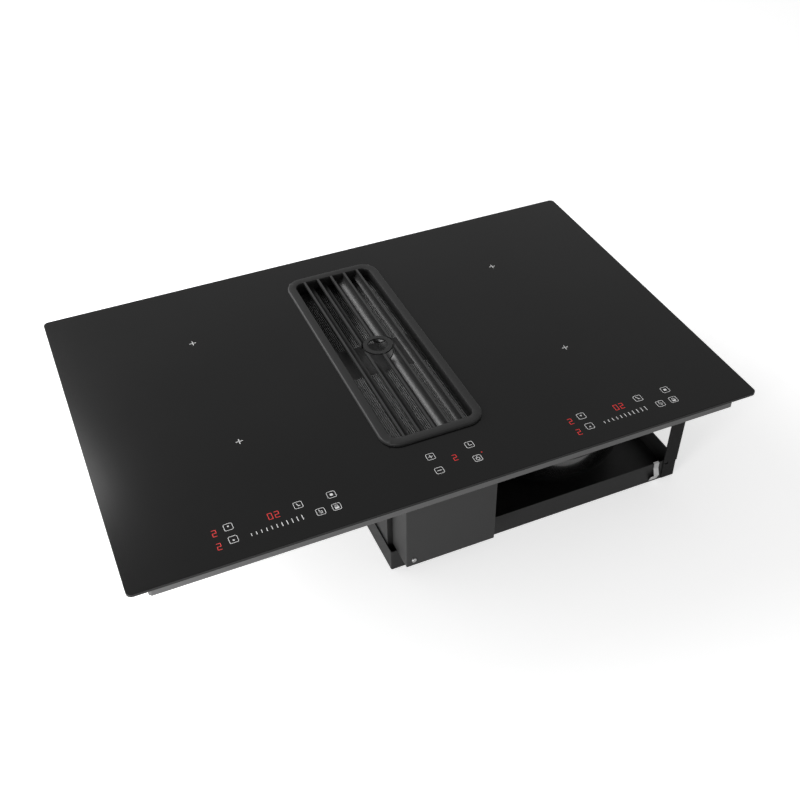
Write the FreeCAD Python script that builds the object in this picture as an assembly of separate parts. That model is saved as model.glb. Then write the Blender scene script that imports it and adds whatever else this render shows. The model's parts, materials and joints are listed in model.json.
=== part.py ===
"""Downdraft induction cooktop: a flush glass hob with a lift-off intake grille in its middle,
and an extraction unit that hangs under its right half.

Frame: millimetres, X to the right seen from the front, Y to the back, Z up.  The origin lies under
the middle of the glass, on the plane that the base frame stands on.
"""
import FreeCAD, Part
import math
import os

V = FreeCAD.Vector
UP = V(0, 0, 1)
os.makedirs("parts", exist_ok=True)

# ---------------------------------------------------------------- driving dimensions
body_depth = 202.0            # underside of the base frame to the top of the glass

glass_width = 800.0
glass_length = 520.0          # front to back
glass_thickness = 4.0
glass_corner = 7.0
glass_bevel = 0.6

seal_width = 10.0
seal_inset = 2.0              # seal set back from the glass edge
seal_thickness = 2.0

tray_side_inset = 23.0        # shallow steel pan under the glass, back from the glass edge
tray_end_inset = 12.0
tray_bottom_depth = 25.5      # below the top of the glass
tray_corner = 3.0
sheet = 1.2                   # steel sheet of the pan, the base frame and the control box

bezel_front_margin = 91.5     # front edge of the glass to the grille
bezel_back_margin = 49.5      # grille to the rear edge of the glass
bezel_width = 136.0
bezel_corner = 24.0
bezel_rise = 4.0              # stands above the glass
bezel_rim = 11.7              # width of the flat rim
bezel_edge_bevel = 1.8
skirt_wall = 2.5
skirt_depth = 12.0            # skirt below the top of the glass

vane_pitch = 20.0
vane_top_width = 3.0
vane_scoop_radius = 11.3      # hollow side of each blade
vane_foot_thickness = 2.0
left_blades = 3               # blades that scoop to the right
right_blades = 2              # blades that scoop to the left
end_vane_angle = 53.0         # degrees of scoop on the last blade, below level

ring_outer_radius = 19.5
ring_hole_radius = 14.0
ring_thickness = 2.4
ring_proud = 0.4              # above the blades
ring_seam = 1.6               # dark seam between the ring's saddle and the blades
ring_sides = 44               # fine flat sides of the ring's outline

lift_gap = 1.0                # all round a part that lifts out through the mouth
collar_wall = 1.5
collar_flange = 14.0          # bonded under the glass
collar_ledge = 6.0            # shelf that carries the filter

filter_height = 24.0
filter_wall = 2.0
filter_top_gap = 1.0          # under the grille's skirt
mesh_thickness = 0.8
mesh_band_length = 62.0       # plain plate across the middle of the filter

drip_height = 30.0
drip_wall = 2.0
drip_clearance = 2.0          # to the collar's shelf on each side

air_box_wall = 2.0
air_box_side_gap = 4.7        # air box to the collar, left and right
air_box_end_gap = 0.5         # air box to the collar, front and back

base_left_gap = 2.0           # air box to the left wall
base_side_gap = 18.5          # blower to the right wall
base_front_gap = 15.7         # air box to the front wall
base_back_gap = 5.7           # air box to the rear wall
base_wall_height = 33.3
base_corner = 2.0

volute_x = 219.0              # centre of the widest arc of the scroll
volute_front_gap = 7.3        # front of the air box to the scroll
volute_seam_height = 54.0     # above the scroll's own floor
volute_height = 85.0
volute_radius = 124.0         # widest arc; the two before it are each one step smaller
volute_step = 12.0
volute_wall = 2.2
volute_round = 26.0           # lower edge, laid out as three bevels
volute_top_bevel = 3.5
volute_lip = 2.0              # upper shell laps outside the lower one
volute_throat_width = 103.0
volute_tongue_radius = 15.0
volute_end_length = 125.0     # centre of the widest arc to the scroll's outlet

impeller_radius = 82.0
impeller_blade_depth = 18.0   # radial
impeller_blades = 28
impeller_blade_thickness = 1.4
impeller_plate = 2.0
impeller_floor_gap = 6.0
impeller_top_gap = 8.6        # wheel to the scroll's roof
impeller_rim_width = 6.0

motor_radius = 36.0
motor_height = 42.0
motor_gap = 3.0               # between the motor and the impeller's cup
motor_bevel = 3.0
motor_boss = 6.0              # collar round the shaft
shaft_radius = 3.95
shaft_running_gap = 0.05

hood_half_width = 77.0
hood_wall = 2.0
hood_pan_gap = 1.0            # hood to the electronics pans
eye_radius = 68.0
eye_throat_radius = 60.0
inlet_flange = 6.0
inlet_wall = 1.5
inlet_funnel_depth = 8.5
inlet_dip = 2.0               # throat reaches this far into the wheel
round_sides = 30              # flat sides of the round parts inside
scroll_run = 10.0             # degrees of arc in one flat run of the scroll
pan_depth = 57.0              # bottom of the electronics pans, below the top of the glass

duct_width = 222.0            # flat ventilation duct
duct_height = 89.0
duct_wall = 2.0
duct_corner = 6.0
duct_drop = 4.0               # duct's underside below the blower's
duct_reach = 26.0             # outlet beyond the base frame's rear wall
spigot_length = 30.0

mount_pad_radius = 9.0        # rubber pads under the blower
mount_pad_height = 15.8
mount_pad_reach = 55.0
mount_pad_sides = 8

post_width = 20.0
post_duct_gap = 3.0           # rear posts to the outlet duct
post_sheet = 1.5
post_lap = 4.0                # side leg below the top of the base frame's wall
post_lean = 3.5               # front post leans out by this much at its top

control_half_width = 62.0
control_length = 44.0         # front to back
control_air_gap = 3.7         # control box to the air box
control_lift = 1.7            # control box above the base frame's wall
cover_thickness = 1.5
cover_edge_round = 1.2
screw_inset = 10.0

gland_depth = 60.0
gland_bore_radius = 6.5
gland_radius = 12.0
gland_length = 24.0
gland_cap_length = 12.0
gland_cap_radius = 10.0
gland_neck_radius = 9.0
gland_sides = 12              # flat sides of the cap and the neck
gland_nut_thickness = 5.0

control_board_margin = 14.0
control_board_low_gap = 8.0
control_board_top_gap = 30.0
standoff_length = 6.0
standoff_width = 6.0
terminal_left = -34.0
terminal_width = 60.0
terminal_length = 16.0
terminal_height = 18.0
terminal_rise = 52.0          # above the control board's lower edge
terminal_poles = 5
terminal_opening = 7.0
terminal_opening_depth = 7.0

coil_gap = 28.0               # between a front and a rear coil
coil_front_gap = 4.0          # coil to the front edge of its plate
coil_rear_gap = 13.0          # coil to the rear edge of its plate
coil_hole_radius = 24.0
coil_thickness = 5.0
ferrite_inset = 9.0           # ferrite bar to the coil's rim
ferrite_start_gap = 3.0       # ferrite bar to the coil's hole
ferrite_width = 12.0
ferrite_thickness = 4.5
ferrites_per_coil = 6
carrier_thickness = 2.0
insulation_thickness = 1.0
coil_plate_thickness = 1.5
coil_plate_side_gap = 16.3    # coil plate to the pan's side wall
coil_plate_back_gap = 10.8
coil_plate_collar_gap = 14.2
coil_plate_touch_gap = 8.0

touch_width = 168.0
touch_centre_width = 88.0
touch_length = 58.0
touch_front_gap = 3.8         # touch carrier to the pan's front wall
board_thickness = 1.6
touch_wall = 2.0

pan_side_step = 10.0          # electronics pan inside the coil plate's edges
pan_front_step = 27.0
pan_back_step = 76.0
pan_wall = 1.0
pan_corner = 4.0
boss_height = 4.0
boss_width = 8.0
board_side_gap = 20.0
board_fan_gap = 23.0
board_margin = 12.0
sink_width = 60.0
sink_margin = 15.0            # heat sink to the board's ends
sink_height = 20.0
sink_base = 4.0
sink_fins = 11
sink_fin_thickness = 1.6

fan_size = 80.0
fan_height = 15.0
fan_bore_radius = 37.0
fan_tip_gap = 1.5
fan_hub_radius = 15.0
fan_blades = 7
fan_hub_sides = 24            # flat sides of the fan's hub and bore
fan_blade_thickness = 1.6
fan_pin_radius = 2.0
fan_back_gap = 15.0           # fan frame to the pan's rear wall
fan_arm_width = 4.0
fan_plate = 2.0

clamp_width = 24.0
clamp_reach = 14.0
clamp_drop = 40.0
clamp_sheet = 1.5
clamp_toe = 10.0
clamp_y = 150.0

clip_corner_gap = 27.5        # clip to the right wall
clip_width = 8.0
clip_sheet = 1.0
clip_hook = 5.0
clip_grip = 24.0              # where the strip bows out from the wall
clip_bow = 14.0               # height of the bow's furthest point
clip_bow_depth = 4.0
clip_foot = 4.0
clip_lap = 8.0                # leg behind the wall

# ---------------------------------------------------------------- levels that follow
glass_top = body_depth


def below(depth):
    """Height of a level that lies this far under the top of the glass."""
    return glass_top - depth


glass_under = below(glass_thickness)
tray_floor_under = below(tray_bottom_depth)
tray_floor = tray_floor_under + sheet


# ---------------------------------------------------------------- small helpers
def block(x0, x1, y0, y1, z0, z1):
    return Part.makeBox(x1 - x0, y1 - y0, z1 - z0, V(x0, y0, z0))


def rod(x, y, radius, z0, z1):
    return Part.makeCylinder(radius, z1 - z0, V(x, y, z0))


def tube(x, y, inner, outer, z0, z1):
    return rod(x, y, outer, z0, z1).cut(rod(x, y, inner, z0, z1))


def plate(width, length, corner, x, y, z0, z1):
    """Flat plate with rounded corners, centred on x, y."""
    body = block(x - width / 2, x + width / 2, y - length / 2, y + length / 2, z0, z1)
    upright = [e for e in body.Edges if abs(e.tangentAt(e.FirstParameter).z) > 0.9]
    return body.makeFillet(corner, upright)


def prism(plan, z0, z1):
    """Upright solid from a plan of (x, y) points."""
    corners = [V(x, y, z0) for x, y in plan]
    return Part.Face(Part.makePolygon(corners + corners[:1])).extrude(V(0, 0, z1 - z0))


def cut_plate(width, length, corner, x, y, z0, z1):
    """Flat plate with its corners cut off at 45 degrees, centred on x, y."""
    half_w = width / 2
    half_l = length / 2
    plan = [(x - half_w + corner, y - half_l), (x + half_w - corner, y - half_l),
            (x + half_w, y - half_l + corner), (x + half_w, y + half_l - corner),
            (x + half_w - corner, y + half_l), (x - half_w + corner, y + half_l),
            (x - half_w, y + half_l - corner), (x - half_w, y - half_l + corner)]
    return prism(plan, z0, z1)


def sided_plan(x, y, radius, sides):
    """Corners of a regular many-sided outline."""
    turns = [2 * math.pi * (number + 0.5) / sides for number in range(sides)]
    return [(x + radius * math.cos(turn), y + radius * math.sin(turn)) for turn in turns]


def sided_rod(x, y, radius, sides, z0, z1):
    return prism(sided_plan(x, y, radius, sides), z0, z1)


def skin(*loops):
    """Solid through flat outlines that match corner by corner; every side is flat."""
    def flat(points):
        return Part.Face(Part.makePolygon(points + points[:1]))
    faces = [flat(loops[0]), flat(loops[-1])]
    for first, last in zip(loops, loops[1:]):
        for number in range(len(first)):
            after = (number + 1) % len(first)
            faces.append(flat([first[number], first[after], last[after], last[number]]))
    solid = Part.makeSolid(Part.makeShell(faces))
    if solid.Volume < 0:
        solid.reverse()
    return solid


def at_level(plan, z):
    return [V(x, y, z) for x, y in plan]


def round_bevels(radius):
    """A round laid out as three bevels: (inset, height) of their corners, from the floor up."""
    turns = [math.radians(degrees) for degrees in (11.25, 33.75, 56.25, 78.75)]
    reach = radius / math.cos(turns[0])
    return [(radius - reach * math.sin(turn), radius - reach * math.cos(turn)) for turn in turns]


def profile(points, x0, x1):
    """Solid from an outline of (y, z) points, run along X."""
    corners = [V(x0, y, z) for y, z in points]
    face = Part.Face(Part.makePolygon(corners + corners[:1]))
    return face.extrude(V(x1 - x0, 0, 0))


def edges_at(shape, z, keep):
    """Edges that lie wholly at height z and pass the test."""
    flat = [e for e in shape.Edges if abs(e.BoundBox.ZMin - z) < 1e-6 and abs(e.BoundBox.ZMax - z) < 1e-6]
    return [e for e in flat if keep(e.BoundBox)]


def save(name, *solids):
    """Write one node: a single solid, or a group of like solids."""
    shape = solids[0] if len(solids) == 1 else Part.makeCompound(list(solids))
    shape.exportStep("parts/%s.step" % name)


# ---------------------------------------------------------------- glass and its seal
mouth_width = bezel_width - 2 * bezel_rim
bezel_length = glass_length - bezel_front_margin - bezel_back_margin
intake_y = (bezel_front_margin - bezel_back_margin) / 2
mouth_length = bezel_length - 2 * bezel_rim
mouth_corner = bezel_corner - bezel_rim
skirt_width = mouth_width + 2 * skirt_wall
skirt_length = mouth_length + 2 * skirt_wall
skirt_corner = mouth_corner + skirt_wall
collar_bore_width = skirt_width + 2 * lift_gap
collar_bore_length = skirt_length + 2 * lift_gap
collar_bore_corner = skirt_corner + lift_gap


bevel_share = 2 - math.sqrt(2)    # 45 degree cut that just touches a round of the same corner


def mouth_plate(grow, z0, z1):
    """Plate with the outline of the collar's bore, grown all round; its corners are cut."""
    return cut_plate(collar_bore_width + 2 * grow, collar_bore_length + 2 * grow,
                     (collar_bore_corner + grow) * bevel_share, 0, intake_y, z0, z1)


def make_glass():
    glass = plate(glass_width, glass_length, glass_corner, 0, 0, glass_under, glass_top)
    rim = edges_at(glass, glass_top, lambda box: True)
    glass = glass.makeChamfer(glass_bevel, rim)
    return glass.cut(plate(collar_bore_width, collar_bore_length, collar_bore_corner, 0, intake_y,
                           glass_under - 1, glass_top + 1))


def make_seal():
    width = glass_width - 2 * seal_inset
    length = glass_length - 2 * seal_inset
    corner = glass_corner - seal_inset
    outer = plate(width, length, corner, 0, 0, glass_under - seal_thickness, glass_under)
    return outer.cut(block(-width / 2 + seal_width, width / 2 - seal_width,
                           -length / 2 + seal_width, length / 2 - seal_width,
                           glass_under - seal_thickness - 1, glass_under + 1))


save("glass_top", make_glass())
save("glass_seal", make_seal())


# ---------------------------------------------------------------- steel pan under the glass
collar_outer_width = collar_bore_width + 2 * collar_wall
collar_outer_length = collar_bore_length + 2 * collar_wall
collar_flange_half = collar_outer_width / 2 + collar_flange
tray_width = glass_width - 2 * tray_side_inset
tray_length = glass_length - 2 * tray_end_inset

touch_front = -tray_length / 2 + sheet + touch_front_gap
touch_back = touch_front + touch_length
coil_plate_inner = collar_flange_half + coil_plate_collar_gap
coil_plate_outer = tray_width / 2 - sheet - coil_plate_side_gap
coil_plate_front = touch_back + coil_plate_touch_gap
coil_plate_back = tray_length / 2 - sheet - coil_plate_back_gap
coil_plate_width = coil_plate_outer - coil_plate_inner
coil_plate_length = coil_plate_back - coil_plate_front
coil_plate_middle = (coil_plate_front + coil_plate_back) / 2
coil_radius = (coil_plate_length - coil_front_gap - coil_rear_gap - coil_gap) / 4
zone_x = (coil_plate_inner + coil_plate_outer) / 2
zone_front_y = coil_plate_front + coil_front_gap + coil_radius
zone_rear_y = coil_plate_back - coil_rear_gap - coil_radius

pan_x = zone_x
pan_width = coil_plate_width - 2 * pan_side_step
pan_front = coil_plate_front + pan_front_step
pan_back = coil_plate_back - pan_back_step
pan_length = pan_back - pan_front
pan_y = (pan_front + pan_back) / 2
pan_window_width = pan_width - 2 * board_margin
pan_window_length = pan_length - 2 * board_margin


def clamp_places():
    return [(side, y) for side in (-1, 1) for y in (-clamp_y, clamp_y)]


def make_hob_tray():
    outer = cut_plate(tray_width, tray_length, tray_corner, 0, 0, tray_floor_under, glass_under)
    inner = cut_plate(tray_width - 2 * sheet, tray_length - 2 * sheet, tray_corner - sheet * bevel_share,
                      0, 0, tray_floor, glass_under + 1)
    tray = outer.cut(inner)
    tray = tray.cut(mouth_plate(collar_wall + lift_gap / 2, tray_floor_under - 1, tray_floor + 1))
    for side in (-1, 1):
        tray = tray.cut(cut_plate(pan_window_width, pan_window_length, pan_corner, side * pan_x, pan_y,
                                  tray_floor_under - 1, tray_floor + 1))
    return tray


save("hob_tray", make_hob_tray())


# ---------------------------------------------------------------- induction coils
insulation_under = glass_under - insulation_thickness
coil_under = insulation_under - coil_thickness
ferrite_under = coil_under - ferrite_thickness
carrier_under = ferrite_under - carrier_thickness
coil_plate_under = carrier_under - coil_plate_thickness
zones = {"rear_left": (-zone_x, zone_rear_y), "front_left": (-zone_x, zone_front_y),
         "rear_right": (zone_x, zone_rear_y), "front_right": (zone_x, zone_front_y)}


def make_winding(x, y):
    """Flat coil with an open middle."""
    coil = sided_rod(x, y, coil_radius, round_sides, coil_under, insulation_under)
    return coil.cut(sided_rod(x, y, coil_hole_radius, round_sides // 2, coil_under - 1, insulation_under + 1))


def make_carrier(x, y):
    """Square plastic plate with cut corners and an open middle."""
    width = 2 * coil_radius
    carrier = cut_plate(width, width, coil_radius * bevel_share, x, y, carrier_under, ferrite_under)
    return carrier.cut(cut_plate(coil_hole_radius, coil_hole_radius, coil_hole_radius / 4, x, y,
                                 carrier_under - 1, ferrite_under + 1))


def make_ferrites(x, y):
    bar = block(coil_hole_radius + ferrite_start_gap, coil_radius - ferrite_inset,
                -ferrite_width / 2, ferrite_width / 2, ferrite_under, coil_under)
    bars = []
    for number in range(ferrites_per_coil):
        turned = bar.copy()
        turned.rotate(V(0, 0, 0), UP, (number + 0.5) * 360.0 / ferrites_per_coil)
        turned.translate(V(x, y, 0))
        bars.append(turned)
    return bars


def make_coil_plate(side):
    """Aluminium plate whose turned-down edges stand on the pan's floor."""
    x0 = side * zone_x - coil_plate_width / 2
    x1 = side * zone_x + coil_plate_width / 2
    top = carrier_under
    body = block(x0, x1, coil_plate_front, coil_plate_back, tray_floor, top)
    hollow = block(x0 + coil_plate_thickness, x1 - coil_plate_thickness,
                   coil_plate_front - 1, coil_plate_back + 1, tray_floor - 1, coil_plate_under)
    return body.cut(hollow)


def make_insulation(side):
    return block(side * zone_x - coil_plate_width / 2, side * zone_x + coil_plate_width / 2,
                 coil_plate_front, coil_plate_back, insulation_under, glass_under)


all_ferrites = []
for zone, (zx, zy) in zones.items():
    save("coil_winding_" + zone, make_winding(zx, zy))
    save("coil_carrier_" + zone, make_carrier(zx, zy))
    all_ferrites += make_ferrites(zx, zy)
save("ferrite_bars", *all_ferrites)
for side_name, side in (("left", -1), ("right", 1)):
    save("coil_plate_" + side_name, make_coil_plate(side))
    save("coil_insulation_" + side_name, make_insulation(side))


# ---------------------------------------------------------------- touch controls
touch_middle = (touch_front + touch_back) / 2
board_under = glass_under - board_thickness
touch_boards = {"left": (-zone_x, touch_width), "centre": (0.0, touch_centre_width),
                "right": (zone_x, touch_width)}


def make_touch_board(x, width):
    return cut_plate(width, touch_length - 2 * touch_wall, 2, x, touch_middle, board_under, glass_under)


def make_touch_carrier():
    """One plastic channel that holds the three boards against the glass."""
    half = zone_x + touch_width / 2 + touch_wall
    body = block(-half, half, touch_front, touch_back, tray_floor, glass_under)
    for x, width in touch_boards.values():
        pocket = block(x - width / 2 - lift_gap / 2, x + width / 2 + lift_gap / 2,
                       touch_front + touch_wall / 2, touch_back - touch_wall / 2,
                       board_under, glass_under + 1)
        hollow = block(x - width / 2 + touch_wall, x + width / 2 - touch_wall,
                       touch_front + 2 * touch_wall, touch_back - 2 * touch_wall,
                       tray_floor + touch_wall, board_under + 1)
        body = body.cut(pocket).cut(hollow)
    gap = zone_x - touch_width / 2 - touch_centre_width / 2
    for side in (-1, 1):
        middle = side * (touch_centre_width / 2 + gap / 2)
        bridge = block(middle - gap / 2 + 2 * touch_wall, middle + gap / 2 - 2 * touch_wall,
                       touch_front - 1, touch_back + 1, tray_floor + 2 * touch_wall, glass_under + 1)
        body = body.cut(bridge)
    return body


for name, (tx, tw) in touch_boards.items():
    save("touch_board_" + name, make_touch_board(tx, tw))
save("touch_carrier", make_touch_carrier())


# ---------------------------------------------------------------- power electronics
pan_under = below(pan_depth)
pan_floor = pan_under + pan_wall
board_z = pan_floor + boss_height
fan_y = pan_back - fan_back_gap - fan_size / 2
board_width = pan_width - 2 * board_side_gap
board_front = pan_front + board_margin
board_length = fan_y - fan_size / 2 - board_fan_gap - board_front
board_y = board_front + board_length / 2
sink_length = board_length - 2 * sink_margin
fan_top = pan_floor + fan_height


def board_corners(x):
    reach_x = board_width / 2 - board_margin
    reach_y = board_length / 2 - board_margin
    return [(x + sx * reach_x, board_y + sy * reach_y) for sx in (-1, 1) for sy in (-1, 1)]


def make_pan(side):
    """Sheet pan with four square feet for the board and an inlet under the fan."""
    x = side * pan_x
    half = boss_width / 2
    pan = cut_plate(pan_width, pan_length, pan_corner, x, pan_y, pan_under, tray_floor_under)
    pan = pan.cut(cut_plate(pan_width - 2 * pan_wall, pan_length - 2 * pan_wall,
                            pan_corner - pan_wall * bevel_share, x, pan_y, pan_floor, tray_floor_under + 1))
    for bx, by in board_corners(x):
        pan = pan.fuse(block(bx - half, bx + half, by - half, by + half, pan_under, board_z))
    return pan.cut(sided_rod(x, fan_y, fan_bore_radius, fan_hub_sides, pan_under - 1, pan_floor + 1))


def make_power_board(side):
    top = board_z + board_thickness
    return cut_plate(board_width, board_length, 3, side * pan_x, board_y, board_z, top)


def make_heat_sink(side):
    """Extruded sink: a base with upright fins along Y."""
    z0 = board_z + board_thickness
    x0 = side * pan_x - sink_width / 2
    y0 = board_y - sink_length / 2
    sink = block(x0, x0 + sink_width, y0, y0 + sink_length, z0, z0 + sink_base)
    pitch = (sink_width - sink_fin_thickness) / (sink_fins - 1)
    for number in range(sink_fins):
        fin_x = x0 + number * pitch
        sink = sink.fuse(block(fin_x, fin_x + sink_fin_thickness, y0, y0 + sink_length,
                               z0 + sink_base / 2, z0 + sink_height))
    return sink.removeSplitter()


def make_fan_frame(side):
    """Square frame; four arms under the bore carry a plate and the bearing pin."""
    x = side * pan_x
    half = fan_arm_width / 2
    reach = fan_bore_radius + 0.4
    frame = cut_plate(fan_size, fan_size, 4, x, fan_y, pan_floor, fan_top)
    bore = fan_bore_radius / math.cos(math.pi / fan_hub_sides)
    frame = frame.cut(sided_rod(x, fan_y, bore, fan_hub_sides, pan_floor - 1, fan_top + 1))
    arm = block(x - reach, x + reach, fan_y - half, fan_y + half, pan_floor, pan_floor + fan_plate)
    cross = block(x - half, x + half, fan_y - reach, fan_y + reach, pan_floor, pan_floor + fan_plate)
    hub = sided_rod(x, fan_y, fan_hub_radius, 8, pan_floor, pan_floor + fan_plate)
    pin = rod(x, fan_y, fan_pin_radius, pan_floor, fan_top - fan_plate)
    return frame.fuse([arm, cross, hub, pin]).removeSplitter()


def make_fan_rotor(side):
    """Hub with flat blades set at an angle, bored to run on the frame's pin."""
    x = side * pan_x
    z0 = pan_floor + fan_plate + 1
    z1 = fan_top - 1
    rotor = sided_rod(0, 0, fan_hub_radius, fan_hub_sides, z0, z1)
    tip = fan_bore_radius - fan_tip_gap
    height = z1 - z0
    half = fan_blade_thickness / 2
    blades = []
    for number in range(fan_blades):
        blade = block(fan_hub_radius - 2, tip - 1, -half, half, -height, height)
        blade.rotate(V(0, 0, 0), V(1, 0, 0), 40)
        blade = blade.common(block(0, tip, -tip, tip, -height / 2 + 0.5, height / 2 - 0.5))
        blade.translate(V(0, 0, (z0 + z1) / 2))
        blade.rotate(V(0, 0, 0), UP, number * 360.0 / fan_blades)
        blades.append(blade)
    rotor = rotor.fuse(blades).cut(rod(0, 0, fan_pin_radius + shaft_running_gap, z0 - 1, z1 + 1))
    rotor.translate(V(x, fan_y, 0))
    return rotor


for side_name, side in (("left", -1), ("right", 1)):
    save("electronics_pan_" + side_name, make_pan(side))
    save("power_board_" + side_name, make_power_board(side))
    save("heat_sink_" + side_name, make_heat_sink(side))
    save("cooling_fan_frame_" + side_name, make_fan_frame(side))
    save("cooling_fan_rotor_" + side_name, make_fan_rotor(side))


# ---------------------------------------------------------------- mouth: collar, grille, filter
filter_top = below(skirt_depth + filter_top_gap)
filter_under = filter_top - filter_height
ledge_under = filter_under - 2.0


def make_collar():
    """Frame bonded under the glass; its shelf carries the filter."""
    flange = mouth_plate(collar_wall + collar_flange, glass_under - collar_wall, glass_under)
    wall = mouth_plate(collar_wall, ledge_under, glass_under)
    collar = flange.fuse(wall).cut(mouth_plate(0, filter_under, glass_under + 1))
    return collar.cut(mouth_plate(-collar_ledge, ledge_under - 1, filter_under + 1)).removeSplitter()


def make_grille_frame():
    """Cast rim: flat top, bevelled outer edge, and a skirt that drops into the collar."""
    rim = plate(bezel_width, bezel_length, bezel_corner, 0, intake_y, glass_top, glass_top + bezel_rise)
    rim = rim.makeChamfer(bezel_edge_bevel, edges_at(rim, glass_top + bezel_rise, lambda box: True))
    skirt = plate(skirt_width, skirt_length, skirt_corner, 0, intake_y, below(skirt_depth), glass_top + 1)
    mouth = plate(mouth_width, mouth_length, mouth_corner, 0, intake_y,
                  below(skirt_depth) - 1, glass_top + bezel_rise + 1)
    return rim.fuse(skirt).cut(mouth).removeSplitter()


vane_top = glass_top + bezel_rise
vane_centre_drop = 1.5        # centre of the scoop's arc, below the blades' top
vane_foot_drop = vane_centre_drop + vane_scoop_radius
vane_y0 = intake_y - mouth_length / 2
vane_y1 = intake_y + mouth_length / 2
all_blades = left_blades + right_blades
vane_places = [(number - (all_blades - 1) / 2) * vane_pitch for number in range(all_blades)]


def make_vane(x, side, angle=90.0):
    """Blade with a round scoop, run along Y.  side 1 scoops to the right, -1 to the left.
    angle is how far round the scoop goes, in degrees below level."""
    reach = math.sqrt(vane_scoop_radius ** 2 - vane_centre_drop ** 2)
    centre_x = vane_top_width / 2 + reach
    centre_z = vane_top - vane_centre_drop
    outer = vane_scoop_radius + vane_foot_thickness
    bulge = (vane_top_width - vane_foot_thickness) / 2

    def at(dx, z):
        return V(x + side * dx, vane_y0, z)

    def round_at(radius, degrees):
        turn = math.radians(degrees)
        return at(centre_x - radius * math.cos(turn), centre_z - radius * math.sin(turn))

    top_in = at(vane_top_width / 2, vane_top)
    top_out = at(-vane_top_width / 2, vane_top)
    foot_in = round_at(vane_scoop_radius, angle)
    foot_out = round_at(outer, angle)
    bend_in = round_at(vane_scoop_radius, angle / 2)
    bend_out = round_at(outer + bulge, angle / 2)
    edges = [Part.makeLine(top_out, top_in), Part.Arc(top_in, bend_in, foot_in).toShape(),
             Part.makeLine(foot_in, foot_out), Part.Arc(foot_out, bend_out, top_out).toShape()]
    return Part.Face(Part.Wire(edges)).extrude(V(0, vane_y1 - vane_y0, 0))


def make_vanes():
    """Blades left of the middle scoop right, the others scoop left; the two that face join in a trough."""
    blades = [make_vane(x, 1 if number < left_blades else -1,
                        end_vane_angle if number == all_blades - 1 else 90.0)
              for number, x in enumerate(vane_places)]
    trough = blades[left_blades - 1].fuse(blades[left_blades]).removeSplitter()
    others = blades[:left_blades - 1] + blades[left_blades + 1:]
    seat = rod(0, intake_y, saddle_radius + ring_seam, below(pan_depth), vane_top + 1)
    return [solid for blade in others + [trough] for solid in blade.cut(seat).Solids]


ring_top = vane_top + ring_proud
ring_under = ring_top - ring_thickness
saddle_radius = ring_outer_radius + 1.0


def make_ring():
    """Finger ring on a piece of the right-hand blade, with two lugs that meet the middle blade."""
    def disc(radius, z0, z1):
        return sided_rod(0, intake_y, radius, ring_sides, z0, z1)
    hole = disc(ring_hole_radius, ring_under - 1, ring_top + 1)
    middle = disc((ring_hole_radius + ring_outer_radius) / 2, ring_under - 1, ring_top + 1)
    ring = disc(ring_outer_radius, ring_under, ring_top).cut(hole)
    saddle = make_vane(vane_places[left_blades], -1)
    saddle = saddle.common(disc(saddle_radius, below(pan_depth), vane_top))
    reach = saddle_radius + ring_seam
    lug = block(-vane_top_width / 2, vane_top_width / 2, intake_y - reach, intake_y + reach,
                ring_under, vane_top)
    lug = lug.common(disc(reach, ring_under, ring_top)).cut(middle)
    return ring.fuse([saddle, lug]).removeSplitter()


def filter_plate(grow, z0, z1):
    """Plate with the outline of the filter, grown all round."""
    return mouth_plate(grow - 2 * lift_gap, z0, z1)


def make_filter_frame():
    frame = filter_plate(0, filter_under, filter_top)
    frame = frame.cut(filter_plate(-filter_wall, filter_under + filter_wall, filter_top + 1))
    frame = frame.cut(filter_plate(-2.5 * filter_wall, filter_under - 1, filter_under + filter_wall + 1))
    band = filter_plate(-filter_wall, filter_top - 3 * filter_wall, filter_top - 2 * filter_wall)
    band = band.common(block(-bezel_width, bezel_width, intake_y - mesh_band_length / 2,
                             intake_y + mesh_band_length / 2, filter_under, filter_top))
    return frame.fuse(band).removeSplitter()


def make_filter_mesh():
    """Two flat mesh panels, one each side of the plain band, with an open grid of holes."""
    inner_width = collar_bore_width - 2 * (2 * lift_gap + filter_wall)
    inner_length = collar_bore_length - 2 * (2 * lift_gap + filter_wall)
    z1 = filter_top - 2 * filter_wall
    z0 = z1 - mesh_thickness
    sheet_full = filter_plate(-filter_wall, z0, z1)
    panels = []
    columns = 4
    rows = 5
    web = 6.0
    hole_x = (inner_width - (columns + 1) * web) / columns
    for end in (-1, 1):
        near = mesh_band_length / 2
        far = inner_length / 2
        y0, y1 = sorted((intake_y + end * near, intake_y + end * far))
        panel = sheet_full.common(block(-inner_width, inner_width, y0, y1, z0 - 1, z1 + 1))
        hole_y = (y1 - y0 - (rows + 1) * web) / rows
        holes = []
        for column in range(columns):
            for row in range(rows):
                hx = -inner_width / 2 + web + column * (hole_x + web)
                hy = y0 + web + row * (hole_y + web)
                holes.append(block(hx, hx + hole_x, hy, hy + hole_y, z0 - 1, z1 + 1))
        panels.append(panel.cut(Part.makeCompound(holes)))
    return [solid for panel in panels for solid in panel.Solids]


save("duct_collar", make_collar())
save("grille_frame", make_grille_frame())
save("grille_vanes", *make_vanes())
save("grille_ring", make_ring())
save("filter_frame", make_filter_frame())
save("filter_mesh", *make_filter_mesh())


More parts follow.
